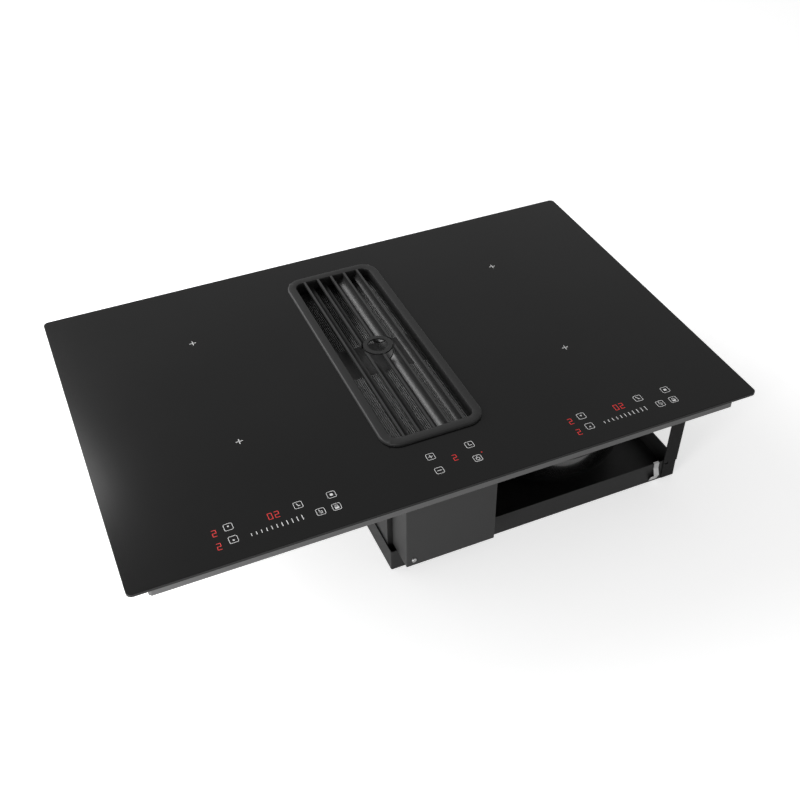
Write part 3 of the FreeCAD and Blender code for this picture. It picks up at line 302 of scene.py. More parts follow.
def build_film_group():
    """Painted shade over the left rear of the filter, which fades along a slanting line."""
    group, entry, leave = new_group("Filter film", [("Amount", NUMBER, 0.8)],
                                    [("Mask", NUMBER)])
    place = object_place(group)
    parts = group.nodes.new("ShaderNodeSeparateXYZ")
    group.links.new(place, parts.inputs[0])
    across = math_node(group, "MULTIPLY_ADD", parts.outputs["X"], SHADE_SLANT,
                       parts.outputs["Y"])
    ragged = math_node(group, "MULTIPLY_ADD", noise(group, place, 30.0, 2.0), SHADE_RAGGED,
                       across)
    fade = smooth_step(group, ragged, SHADE_START, SHADE_END)
    group.links.new(math_node(group, "MULTIPLY", fade, entry["Amount"]), leave["Mask"])
    return group


ALONG_X = (6.0, 400.0, 400.0)  # stretch of the streaks along each axis
ALONG_Y = (400.0, 6.0, 400.0)
FLAKE_MIDDLE, FLAKE_SHARE = 0.4, 0.25  # crystal pattern of plated sheet
STREAK_ROUGHNESS = 0.06


def build_sheet_group():
    """Rolled or brushed sheet: streaks along one axis in colour, roughness and height."""
    group, entry, leave = new_group(
        "Rolled sheet",
        [("Colour", COLOUR, (0.5, 0.5, 0.5, 1)), ("Streaks", NUMBER, 0.12),
         ("Along", VECTOR, ALONG_X), ("Roughness", NUMBER, 0.35)],
        [("Colour", COLOUR), ("Roughness", NUMBER), ("Height", NUMBER)])
    place = object_place(group)
    stretched = vector_node(group, "MULTIPLY", "Vector", first=place, second=entry["Along"])
    streak = noise(group, stretched, 1.0, 4.0)
    crystals = group.nodes.new("ShaderNodeTexVoronoi")
    crystals.inputs["Scale"].default_value = 260.0
    group.links.new(place, crystals.inputs["Vector"])
    flake = math_node(group, "SUBTRACT", crystals.outputs["Distance"], FLAKE_MIDDLE)
    both = math_node(group, "ADD", centred(group, streak),
                     math_node(group, "MULTIPLY", flake, FLAKE_SHARE))
    factor = math_node(group, "MULTIPLY_ADD", both, entry["Streaks"], 1.0)
    colour = vector_node(group, "SCALE", "Vector", first=entry["Colour"], scale=factor)
    rough = math_node(group, "MULTIPLY_ADD", both, STREAK_ROUGHNESS, entry["Roughness"])
    group.links.new(colour, leave["Colour"])
    group.links.new(rough, leave["Roughness"])
    group.links.new(streak, leave["Height"])
    return group


# ---------------------------------------------------------------- materials
# Colour of the painted shade over the filter's left rear.
PAINTED_SHADE_COLOUR = (*grey(0.002), 1.0)
# Light colour of sheet edges, partly rubbed wear and partly painted highlight.
EDGE_WEAR_AND_HIGHLIGHT_METAL = (*grey(0.75), 1.0)


def place_group(tree, group, **values):
    """Places a group in a material; an underscore stands for a space in an input's name."""
    node = tree.nodes.new("ShaderNodeGroup")
    node.node_tree = group
    for name, value in values.items():
        node.inputs[name.replace("_", " ")].default_value = value
    return node.outputs


def new_material(name):
    material = bpy.data.materials.new(name)
    material.use_nodes = True
    tree = material.node_tree
    return material, tree, tree.nodes["Principled BSDF"]


def add_bump(tree, shader, height, strength, distance):
    bump = tree.nodes.new("ShaderNodeBump")
    bump.inputs["Strength"].default_value = strength
    bump.inputs["Distance"].default_value = distance
    tree.links.new(height, bump.inputs["Height"])
    tree.links.new(bump.outputs["Normal"], shader.inputs["Normal"])


def coated(groups, name, colour, roughness, metallic=0.0, specular=0.5, mottle=0.10,
           grain=900.0, patch=14.0, uneven=0.05, bump=0.15, depth=0.05 * MM, wear=0.0,
           wear_colour=0.25, coat=0.0, film=0.0):
    """Painted, moulded or cast finish: grain, uneven gloss, edges lightened partly as wear and
    partly as painted highlight, and painted shade where asked.
    """
    material, tree, shader = new_material(name)
    grains = place_group(tree, groups["grain"], Colour=(*colour, 1.0), Mottle=mottle,
                         Grain_size=grain, Patch_size=patch, Roughness=roughness,
                         Unevenness=uneven)
    tone = grains["Colour"]
    # Lighter edges: partly wear, partly painted highlight.
    if wear:
        edge = place_group(tree, groups["edge"], Amount=wear)
        tone = mix_colour(tree, edge["Mask"], tone, (*grey(wear_colour), 1.0))
    # Painted shade: darkens the filter's left rear in its colour.
    if film:
        cover = place_group(tree, groups["film"], Amount=film)
        tone = mix_colour(tree, cover["Mask"], tone, PAINTED_SHADE_COLOUR)
    tree.links.new(tone, shader.inputs["Base Color"])
    tree.links.new(grains["Roughness"], shader.inputs["Roughness"])
    shader.inputs["Metallic"].default_value = metallic
    shader.inputs["Specular IOR Level"].default_value = specular
    shader.inputs["Coat Weight"].default_value = coat
    shader.inputs["Coat Roughness"].default_value = 0.08
    add_bump(tree, shader, grains["Height"], bump, depth)
    return material


def rolled(groups, name, colour, roughness, along=ALONG_X, streaks=0.12):
    """Bare or plated sheet metal with faint rolling streaks, and edges lightened partly as rubbed
    wear and partly as painted highlight.
    """
    material, tree, shader = new_material(name)
    sheet = place_group(tree, groups["sheet"], Colour=(*colour, 1.0), Streaks=streaks,
                        Along=along, Roughness=roughness)
    # Lighter edges: partly rubbed wear, partly painted highlight.
    edge = place_group(tree, groups["edge"], Amount=0.25)
    tone = mix_colour(tree, edge["Mask"], sheet["Colour"], EDGE_WEAR_AND_HIGHLIGHT_METAL)
    tree.links.new(tone, shader.inputs["Base Color"])
    tree.links.new(sheet["Roughness"], shader.inputs["Roughness"])
    shader.inputs["Metallic"].default_value = 1.0
    add_bump(tree, shader, sheet["Height"], 0.08, 0.03 * MM)
    return material


def lit(groups, name, colour, strength):
    """Display segment that glows through the glass."""
    material, tree, shader = new_material(name)
    grains = place_group(tree, groups["grain"], Colour=(*colour, 1.0), Mottle=0.15,
                         Grain_size=2500.0, Patch_size=300.0, Roughness=0.4)
    tree.links.new(grains["Colour"], shader.inputs["Base Color"])
    tree.links.new(grains["Colour"], shader.inputs["Emission Color"])
    shader.inputs["Emission Strength"].default_value = strength
    return material


def build_finishes(colours):
    """Every finish of the cooktop by name."""
    groups = {"grain": build_grain_group(), "edge": build_edge_wear_and_highlight_group(),
              "sheet": build_sheet_group(), "film": build_film_group()}
    coat = functools.partial(coated, groups)
    sheet = functools.partial(rolled, groups)
    return {
        "glass": coat("Black glass-ceramic", colours.glass, 0.16, specular=0.28, mottle=0.25,
                      grain=2500.0, patch=6.0, uneven=0.015, bump=0.02),
        "ink": coat("Printed marks", colours.ink, 0.5, mottle=0.08, bump=0.05),
        "digits": lit(groups, "Lit segments", colours.digits, 0.55),
        "rubber": coat("Black rubber", grey(0.012), 0.75, mottle=0.2, grain=1500.0, bump=0.3),
        "grille": coat("Grille powder coat", colours.grille, 0.55, metallic=0.35, mottle=0.06,
                       grain=2200.0, uneven=0.04, bump=0.12, wear=0.35, wear_colour=0.22),
        "blades": coat("Blade powder coat", colours.blades, 0.40, metallic=0.85, mottle=0.06,
                       grain=2200.0, uneven=0.04, bump=0.10, wear=0.2, wear_colour=0.22),
        # The filter's wire and frame carry painted shade over their left rear.
        "weave": coat("Dark filter wire", grey(0.27), 0.5, metallic=0.3, mottle=0.2,
                      grain=1800.0, bump=0.2, film=0.92),
        "filter": coat("Filter frame", grey(0.050), 0.45, metallic=0.3, mottle=0.12,
                       wear=0.25, film=0.85),
        "zinc": sheet("Zinc-plated sheet", colours.zinc, 0.36),
        "screw": sheet("Plated screw", grey(0.55), 0.30, streaks=0.08),
        "coat": coat("Black coated sheet", colours.black_coat, 0.48, specular=0.35,
                     mottle=0.12, grain=1400.0, uneven=0.06, wear=0.4, wear_colour=0.12),
        # Painted shade: the base frame's coat is a darker copy of the boxes' black coat.
        "frame": coat("Black coated frame", colours.frame_coat_painted_shade, 0.5, specular=0.3,
                      mottle=0.12, grain=1400.0, uneven=0.06, wear=0.4, wear_colour=0.10),
        "post": coat("Dull coated post", grey(0.006), 0.6, specular=0.2, mottle=0.12,
                     grain=1400.0, wear=0.3, wear_colour=0.08),
        "plastic": coat("Moulded plastic", colours.plastic, 0.5, mottle=0.15, grain=1600.0,
                        uneven=0.06, bump=0.3, depth=0.04 * MM, wear=0.2, wear_colour=0.08),
        "gloss": coat("Gloss plastic", grey(0.006), 0.20, specular=1.0, mottle=0.1,
                      uneven=0.03, bump=0.03, coat=1.0),
        "grey": coat("Grey plastic", grey(0.11), 0.5, mottle=0.1, bump=0.25),
        "copper": sheet("Wound copper", (0.50, 0.22, 0.11), 0.38, streaks=0.3),
        "ferrite": coat("Ferrite", grey(0.02), 0.7, mottle=0.3, bump=0.35),
        "mica": coat("Mica sheet", (0.42, 0.38, 0.31), 0.6, mottle=0.25, patch=60.0, bump=0.2),
        "board": coat("Circuit board", (0.018, 0.09, 0.04), 0.35, mottle=0.2, patch=120.0),
        "aluminium": sheet("Mill aluminium", grey(0.60), 0.34, along=ALONG_Y, streaks=0.1),
    }


SLOT_FINISHES = {
    "black_glass": "glass", "black_rubber": "rubber", "zinc_steel": "zinc",
    "copper": "copper", "grey_plastic": "grey", "ferrite": "ferrite", "mica": "mica",
    "aluminium": "aluminium", "circuit_board": "board", "black_plastic": "plastic",
    "gloss_black_plastic": "gloss", "anthracite_metal": "grille", "filter_steel": "filter",
    "black_steel": "coat",
}
# Nodes whose finish isn't the one of their material slot.
OWN_FINISHES = {"grille_vanes": "blades", "spring_clip": "screw", "base_frame": "frame",
                "front_right_post": "post", "rear_right_post": "post",
                "rear_left_post": "post"}
MATERIAL_NAMES = {}  # filled by the first operator


def finish(name):
    """A finish that the first operator made."""
    return bpy.data.materials[MATERIAL_NAMES[name]]


# ---------------------------------------------------------------- modelling by hand
def clear_selection():
    if bpy.context.object and bpy.context.object.mode != "OBJECT":
        bpy.ops.object.mode_set(mode="OBJECT")
    bpy.ops.object.select_all(action="DESELECT")


def edit_all():
    """Edit mode with everything chosen."""
    bpy.ops.object.mode_set(mode="EDIT")
    bpy.ops.mesh.select_all(action="SELECT")


def pick_edges(test):
    """In edit mode, chooses the edges whose two ends pass a test."""
    bpy.ops.mesh.select_mode(type="EDGE")
    bpy.ops.mesh.select_all(action="DESELECT")
    mesh = bmesh.from_edit_mesh(bpy.context.object.data)
    for edge in mesh.edges:
        edge.select_set(all(test(vertex.co) for vertex in edge.verts))
    mesh.select_flush(False)
    bmesh.update_edit_mesh(bpy.context.object.data)


def pick_faces(test):
    """In edit mode, chooses faces by a test on their centre and normal."""
    bpy.ops.mesh.select_mode(type="FACE")
    bpy.ops.mesh.select_all(action="DESELECT")
    mesh = bmesh.from_edit_mesh(bpy.context.object.data)
    mesh.normal_update()
    for face in mesh.faces:
        face.select_set(test(face.calc_center_median(), face.normal))
    mesh.select_flush(True)
    bmesh.update_edit_mesh(bpy.context.object.data)


def face_out():
    """Turns every face outwards and leaves edit mode."""
    bpy.ops.mesh.select_all(action="SELECT")
    bpy.ops.mesh.normals_make_consistent(inside=False)
    bpy.ops.object.mode_set(mode="OBJECT")


def raise_by(height):
    """In edit mode, draws the whole flat shape upwards."""
    bpy.ops.mesh.select_all(action="SELECT")
    bpy.ops.mesh.extrude_region_move(TRANSFORM_OT_translate={"value": (0, 0, height)})
    face_out()


def raise_ring(corner, segments, width, height):
    """Makes the active plane an upright ring with rounded corners."""
    edit_all()
    bpy.ops.mesh.bevel(offset=corner, segments=segments, affect="VERTICES")
    bpy.ops.mesh.select_all(action="SELECT")
    bpy.ops.mesh.inset(thickness=width, depth=0.0)
    bpy.ops.mesh.delete(type="FACE")
    raise_by(height)


def middle_of(low, high):
    """Middle of a box, seen from above."""
    return (low[0] + high[0]) / 2, (low[1] + high[1]) / 2


def join(parts):
    """One object of several, each with its place applied."""
    clear_selection()
    for part in parts:
        part.select_set(True)
    bpy.context.view_layer.objects.active = parts[0]
    bpy.ops.object.transform_apply(location=True, rotation=True, scale=True)
    bpy.ops.object.join()
    return bpy.context.object


def settle(piece, name, body, material):
    """Applies the piece's place, names it, gives it its finish and lets it ride."""
    clear_selection()
    piece.select_set(True)
    bpy.context.view_layer.objects.active = piece
    bpy.ops.object.transform_apply(location=True, rotation=True, scale=True)
    piece.name = name
    piece.data.name = name
    piece.data.materials.clear()
    piece.data.materials.append(material)
    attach(piece, body)


# ---------------------------------------------------------------- prints, in millimetres
def flat_bar(x, y, width, height, corner, turn=0.0):
    """Printed bar with rounded corners, turned by degrees."""
    clear_selection()
    bpy.ops.mesh.primitive_plane_add(size=1.0, location=(x * MM, y * MM, PRINT_LEVEL))
    bar = bpy.context.object
    bar.scale = (width * MM, height * MM, 1.0)
    bpy.ops.object.transform_apply(location=False, rotation=False, scale=True)
    edit_all()
    bpy.ops.mesh.bevel(offset=corner * MM, segments=2, affect="VERTICES")
    raise_by(bpy.context.scene.cooktop_marks.ink)
    bar.rotation_euler.z = math.radians(turn)
    return bar


def outline(x, y, side, line, corner):
    """Printed square outline with rounded corners."""
    clear_selection()
    bpy.ops.mesh.primitive_plane_add(size=side * MM, location=(x * MM, y * MM, PRINT_LEVEL))
    raise_ring(corner * MM, 4, line * MM, bpy.context.scene.cooktop_marks.ink)
    return bpy.context.object


def dot(x, y, radius):
    """Printed round dot."""
    clear_selection()
    bpy.ops.mesh.primitive_circle_add(vertices=20, radius=radius * MM, fill_type="NGON",
                                      location=(x * MM, y * MM, PRINT_LEVEL))
    edit_all()
    raise_by(bpy.context.scene.cooktop_marks.ink)
    return bpy.context.object


def print_signs(signs, offset=0.0):
    """Prints the rows of a table of signs, moved to the right by an offset."""
    return [draw(x + offset, y, *sizes) for draw, x, y, *sizes in signs]


# Segments of a figure: steps to the right and upwards from its middle, and whether upright.
SEGMENTS = {"a": (0, 1, False), "b": (1, 0.5, True), "c": (1, -0.5, True),
            "d": (0, -1, False), "e": (-1, -0.5, True), "f": (-1, 0.5, True),
            "g": (0, 0, False)}
FIGURES = {"0": "abcdef", "2": "abged"}


def lit_figure(x, y, figure):
    """Lit figure of bars, centred on x, y."""
    marks = bpy.context.scene.cooktop_marks
    half_width = marks.digit_width / MM / 2
    half_height = marks.digit_height / MM / 2
    bar = marks.digit_bar / MM
    bars = []
    for name in FIGURES[figure]:
        right, up, upright = SEGMENTS[name]
        width, height = 2 * half_width + bar * 0.5, bar
        if upright:
            width, height = bar, half_height + bar * 0.3
        bars.append(flat_bar(x + right * half_width, y + up * half_height, width, height,
                             bar * 0.35))
    return bars


# Middles of the square key fields: the left control group, and the fields between the groups.
GROUP_KEYS = ((-275.0, -209.0), (-275.0, -229.0), (-193.3, -209.0), (-173.3, -229.0),
              (-153.2, -209.0), (-154.3, -229.0))
CENTRE_KEYS = ((-24.1, -198.7), (-24.1, -223.9), (27.0, -198.7), (25.7, -223.6))
# Signs in the fields: what is drawn, its middle, then its sizes.
GROUP_SIGNS = (
    (dot, -275.0, -208.0, 1.1),
    (dot, -275.0, -230.2, 1.1),
    (flat_bar, -194.0, -208.0, 0.9, 4.2, 0.2, 28.0),
    (flat_bar, -192.4, -210.3, 2.6, 0.9, 0.2),
    (flat_bar, -153.2, -209.0, 3.6, 3.6, 0.5),
    (flat_bar, -154.3, -230.4, 4.8, 3.6, 0.5),
    (outline, -154.3, -228.0, 3.6, 0.7, 1.3),
    (flat_bar, -174.6, -228.2, 0.8, 5.6, 0.2),
    (outline, -173.0, -229.7, 3.6, 0.7, 1.0),
)
CENTRE_SIGNS = (
    (flat_bar, -24.1, -198.7, 5.4, 0.9, 0.1),
    (flat_bar, -24.1, -198.7, 0.9, 5.4, 0.1),
    (flat_bar, -24.1, -223.9, 5.4, 0.9, 0.1),
    (flat_bar, 26.3, -197.6, 0.8, 4.4, 0.1),
    (flat_bar, 28.0, -199.9, 3.4, 0.8, 0.1),
    (outline, 25.7, -224.6, 4.6, 0.7, 0.6),
    (flat_bar, 25.7, -220.8, 0.8, 2.2, 0.2),
)
GROUP_FIGURES = ((-292.0, -212.5, "2"), (-292.2, -233.0, "2"), (-227.6, -212.8, "0"),
                 (-219.6, -212.8, "2"))
CENTRE_FIGURE = (1.7, -211.9, "2")
RED_LIGHT = (34.5, -216.3, 0.8)
SLIDER_LEFT, SLIDER_FOOT = -254.8, -232.6  # first mark of the left slider, and its foot
TICK_WIDTH, TICK_CORNER = 0.9, 0.2
ZONE_MIDDLES = ((-223.2, 130.6), (-223.0, -80.5), (225.6, 129.1), (225.8, -81.8))
CROSS_ARM, CROSS_LINE, CROSS_CORNER = 9.0, 1.0, 0.2


# ---------------------------------------------------------------- operators
class COOKTOP_OT_finishes(bpy.types.Operator):
    """Builds the finishes and gives every CAD node its own"""
    bl_idname = "cooktop.finishes"
    bl_label = "Finishes"

    def execute(self, context):
        finishes = build_finishes(context.scene.cooktop_colours)
        MATERIAL_NAMES.update({key: material.name for key, material in finishes.items()})
        slots = {entry["node"]: entry["material_slot"] for entry in frame["record"]["subparts"]}
        for name, node in frame["nodes"].items():
            material = finishes[OWN_FINISHES.get(name) or SLOT_FINISHES[slots[name]]]
            node.data.materials.clear()
            node.data.materials.append(material)
        return {"FINISHED"}


class COOKTOP_OT_key_fields(bpy.types.Operator):
    """Prints the square key fields and their small signs on the glass"""
    bl_idname = "cooktop.key_fields"
    bl_label = "Key fields"

    def execute(self, context):
        marks = context.scene.cooktop_marks
        shift = marks.group_gap / MM
        sizes = [size / MM for size in (marks.key_size, marks.key_line, marks.key_round)]
        right_keys = tuple((x + shift, y) for x, y in GROUP_KEYS)
        fields = [outline(x, y, *sizes) for x, y in CENTRE_KEYS + GROUP_KEYS + right_keys]
        settle(join(fields), "key_fields", HOUSING, finish("ink"))
        signs = print_signs(GROUP_SIGNS) + print_signs(GROUP_SIGNS, shift)
        signs += print_signs(CENTRE_SIGNS)
        settle(join(signs), "key_signs", HOUSING, finish("ink"))
        return {"FINISHED"}


class COOKTOP_OT_displays(bpy.types.Operator):
    """Lights the red figures and the small red light"""
    bl_idname = "cooktop.displays"
    bl_label = "Displays"

    def execute(self, context):
        bars = []
        for offset in (0.0, context.scene.cooktop_marks.group_gap / MM):
            for x, y, figure in GROUP_FIGURES:
                bars += lit_figure(x + offset, y, figure)
        bars += lit_figure(*CENTRE_FIGURE)
        bars.append(dot(*RED_LIGHT))
        settle(join(bars), "lit_figures", HOUSING, finish("digits"))
        return {"FINISHED"}


class COOKTOP_OT_sliders(bpy.types.Operator):
    """Prints the marks of the two power sliders, longer to the right"""
    bl_idname = "cooktop.sliders"
    bl_label = "Sliders"

    def execute(self, context):
        marks = context.scene.cooktop_marks
        pitch = marks.tick_pitch / MM
        low = marks.tick_low / MM
        step = (marks.tick_high / MM - low) / (marks.slider_ticks - 1)
        bars = []
        for start in (SLIDER_LEFT, SLIDER_LEFT + marks.group_gap / MM):
            for number in range(marks.slider_ticks):
                height = low + step * number
                bars.append(flat_bar(start + number * pitch, SLIDER_FOOT + height / 2,
                                     TICK_WIDTH, height, TICK_CORNER))
        settle(join(bars), "slider_marks", HOUSING, finish("ink"))
        return {"FINISHED"}


class COOKTOP_OT_zone_marks(bpy.types.Operator):
    """Prints the small cross in the middle of each cooking zone"""
    bl_idname = "cooktop.zone_marks"
    bl_label = "Zone marks"

    def execute(self, context):
        bars = []
        for x, y in ZONE_MIDDLES:
            bars += [flat_bar(x, y, CROSS_LINE, CROSS_ARM, CROSS_CORNER),
                     flat_bar(x, y, CROSS_ARM, CROSS_LINE, CROSS_CORNER)]
        settle(join(bars), "zone_marks", HOUSING, finish("ink"))
        return {"FINISHED"}


class COOKTOP_OT_filter_weave(bpy.types.Operator):
    """Weaves the two dark mesh panels of the grease filter"""
    bl_idname = "cooktop.filter_weave"
    bl_label = "Filter weave"

    BAND_HALF = 31 * MM  # half of the plain band between the panels
    WIRE_DEPTH = 0.3 * MM  # middle of the wires under the panel's top

    def execute(self, context):
        sizes = context.scene.cooktop_filter
        low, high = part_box("filter_mesh")
        x, y = middle_of(low, high)
        panels = []
        for y0, y1 in ((low[1], y - self.BAND_HALF), (y + self.BAND_HALF, high[1])):
            wide = high[0] - low[0]
            long = y1 - y0
            clear_selection()
            bpy.ops.mesh.primitive_grid_add(
                x_subdivisions=round(wide / sizes.wire_pitch),
                y_subdivisions=round(long / sizes.wire_pitch),
                size=1.0, location=(x, (y0 + y1) / 2, high[2] - self.WIRE_DEPTH))
            panel = bpy.context.object
            panel.scale = (wide, long, 1.0)
            bpy.ops.object.transform_apply(location=False, rotation=False, scale=True)
            wires = panel.modifiers.new("Wires", "WIREFRAME")
            wires.thickness = sizes.wire_width
            wires.use_even_offset = False
            wires.use_boundary = True
            bpy.ops.object.modifier_apply(modifier="Wires")
            panel.scale = (1.0, 1.0, sizes.wire_flat)
            bpy.ops.object.transform_apply(location=True, rotation=False, scale=True)
            panels.append(panel)
        piece = join(panels)
        settle(piece, "filter_weave", "filter", finish("weave"))
        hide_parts("filter_mesh")
        return {"FINISHED"}


class COOKTOP_OT_grille_rim(bpy.types.Operator):
    """Casts the grille's rim with its soft outer edge and its skirt"""
    bl_idname = "cooktop.grille_rim"
    bl_label = "Grille rim"

    OUTER_BAND = 6 * MM  # how far in the outer edge's corners reach
    INNER_SLACK = 0.1 * MM
    INNER_ROUND = 0.5 * MM

    def execute(self, context):
        shells = context.scene.cooktop_shells
        low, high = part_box("grille_frame")
        middle_x, middle_y = middle_of(low, high)
        half_x, half_y = (high[0] - low[0]) / 2, (high[1] - low[1]) / 2
        outer_x, outer_y = half_x - self.OUTER_BAND, half_y - self.OUTER_BAND
        inner_x = half_x - shells.rim_width + self.INNER_SLACK
        inner_y = half_y - shells.rim_width + self.INNER_SLACK

        def on_outer_edge(place):
            away_x, away_y = abs(place.x - middle_x), abs(place.y - middle_y)
            return abs(place.z - high[2]) < NEAR and (away_x > outer_x or away_y > outer_y)

        def on_inner_edge(place):
            away_x, away_y = abs(place.x - middle_x), abs(place.y - middle_y)
            return abs(place.z - high[2]) < NEAR and away_x < inner_x and away_y < inner_y

        rim = self.ring(low, high, 0.0, shells.rim_width, GLASS_TOP, high[2])
        bpy.ops.object.mode_set(mode="EDIT")
        pick_edges(on_outer_edge)
        bpy.ops.mesh.bevel(offset=shells.rim_round, segments=5, profile=0.5)
        pick_edges(on_inner_edge)
        bpy.ops.mesh.bevel(offset=self.INNER_ROUND, segments=2)
        face_out()
        inset = shells.rim_width - shells.skirt_wall
        skirt = self.ring(low, high, inset, shells.skirt_wall, low[2], GLASS_TOP)
        piece = join([rim, skirt])
        bpy.ops.object.shade_smooth_by_angle(angle=math.radians(35))
        settle(piece, "grille_rim", "grille", finish("grille"))
        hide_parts("grille_frame")
        return {"FINISHED"}

    def ring(self, low, high, inset, width, z0, z1):
        """Upright ring from z0 to z1, set in from the rim's outline."""
        clear_selection()
        bpy.ops.mesh.primitive_plane_add(size=1.0, location=(*middle_of(low, high), z0))
        ring = bpy.context.object
        ring.scale = (high[0] - low[0] - 2 * inset, high[1] - low[1] - 2 * inset, 1.0)
        bpy.ops.object.transform_apply(location=True, rotation=True, scale=True)
        corner = bpy.context.scene.cooktop_shells.rim_corner - inset
        raise_ring(corner, 14, width, z1 - z0)
        return ring


class COOKTOP_OT_scroll_shells(bpy.types.Operator):
    """Moulds the two smooth shells of the blower's scroll"""
    bl_idname = "cooktop.scroll_shells"
    bl_label = "Scroll shells"

    REACH = 124.0 * MM  # radius of the spiral's first quarter
    STEP = 12.0 * MM  # how much tighter each later arc is
    THROAT = 103.0 * MM  # width of the outlet
    TONGUE = 15.0 * MM  # radius of the tongue beside the outlet
    SHORTEST_EDGE = 0.05 * MM
    UPPER_ROUND = 5.0 * MM
    EYE_RADIUS, EYE_DEPTH = 68 * MM, 30 * MM

    def execute(self, context):
        shells = context.scene.cooktop_shells
        low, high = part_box("volute_lower")
        lower = self.shell(low[2], high[2], 0.0, shells.scroll_round, 9)
        settle(lower, "scroll_lower", HOUSING, finish("gloss"))
        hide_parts("volute_lower")
        low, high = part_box("volute_upper")
        upper = self.shell(high[2], low[2], shells.scroll_lip, self.UPPER_ROUND, 4, eye=True)
        settle(upper, "scroll_upper", HOUSING, finish("plastic"))
        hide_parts("volute_upper")
        return {"FINISHED"}

    def plan(self, grow):
        """Outline of the scroll, grown all round: three arcs, the tongue and the throat."""
        low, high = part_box("volute_lower")
        wide = self.REACH + grow
        middle = wide - self.STEP
        small = middle - self.STEP
        x, y = high[0] - self.REACH, low[1] + self.REACH
        tongue = self.TONGUE - grow
        throat = high[0] - self.THROAT - grow
        inner_y = y - self.STEP
        # Each arc: its middle, radius, start and end in degrees, and number of edges.
        arcs = ((x, y, wide, 0, -90, 20),
                (x, inner_y, middle, -90, -180, 18),
                (x - self.STEP, inner_y, small, 180, 90, 16),
                (throat - tongue, inner_y + small + tongue, tongue, -90, 0, 6))
        points = [(x + wide, high[1])]
        for arc_x, arc_y, radius, start, end, edges in arcs:
            for number in range(edges + 1):
                turn = math.radians(start + (end - start) * number / edges)
                point = (arc_x + radius * math.cos(turn), arc_y + radius * math.sin(turn))
                if math.dist(point, points[-1]) > self.SHORTEST_EDGE:
                    points.append(point)
        return points + [(throat, high[1])]

    def shell(self, z0, z1, grow, edge_round, segments, eye=False):
        """Cup on the plan from z0 towards z1, its edge at z0 rounded and its outlet open."""
        points = self.plan(grow)
        outlet = max(y for x, y in points)
        clear_selection()
        bpy.ops.mesh.primitive_circle_add(vertices=len(points), radius=0.1, fill_type="NGON",
                                          location=(0, 0, z0))
        shell = bpy.context.object
        for vertex, (x, y) in zip(shell.data.vertices, points):
            vertex.co = (x, y, 0.0)
        bpy.ops.object.transform_apply(location=True, rotation=True, scale=True)
        edit_all()
        bpy.ops.mesh.extrude_region_move(TRANSFORM_OT_translate={"value": (0, 0, z1 - z0)})
        bpy.ops.mesh.delete(type="FACE")
        pick_edges(lambda place: abs(place.z - z0) < NEAR)
        mesh = bmesh.from_edit_mesh(shell.data)
        for edge in mesh.edges:
            if all(vertex.co.y > outlet - NEAR for vertex in edge.verts):
                edge.select_set(False)
        bmesh.update_edit_mesh(shell.data)
        bpy.ops.mesh.bevel(offset=edge_round, segments=segments, profile=0.5)
        face_out()
        bpy.ops.object.mode_set(mode="EDIT")
        pick_faces(lambda centre, normal: abs(centre.y - outlet) < NEAR)
        bpy.ops.mesh.delete(type="FACE")
        face_out()
        wall = shell.modifiers.new("Wall", "SOLIDIFY")
        wall.thickness = bpy.context.scene.cooktop_shells.scroll_wall
        wall.offset = -1.0
        bpy.ops.object.modifier_apply(modifier="Wall")
        if eye:
            self.open_eye(shell)
        bpy.ops.object.shade_smooth_by_angle(angle=math.radians(30))
        return shell

    def open_eye(self, shell):
        """Round eye through the upper shell's roof, over the wheel."""
        low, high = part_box("inlet_ring")
        clear_selection()
        bpy.ops.mesh.primitive_cylinder_add(vertices=72, radius=self.EYE_RADIUS,
                                            depth=self.EYE_DEPTH,
                                            location=(*middle_of(low, high), high[2]))
        cutter = bpy.context.object
        clear_selection()
        shell.select_set(True)
        bpy.context.view_layer.objects.active = shell
        hole = shell.modifiers.new("Eye", "BOOLEAN")
        hole.object = cutter
        hole.operation = "DIFFERENCE"
        hole.solver = "EXACT"
        bpy.ops.object.modifier_apply(modifier="Eye")
        bpy.data.objects.remove(cutter, do_unlink=True)


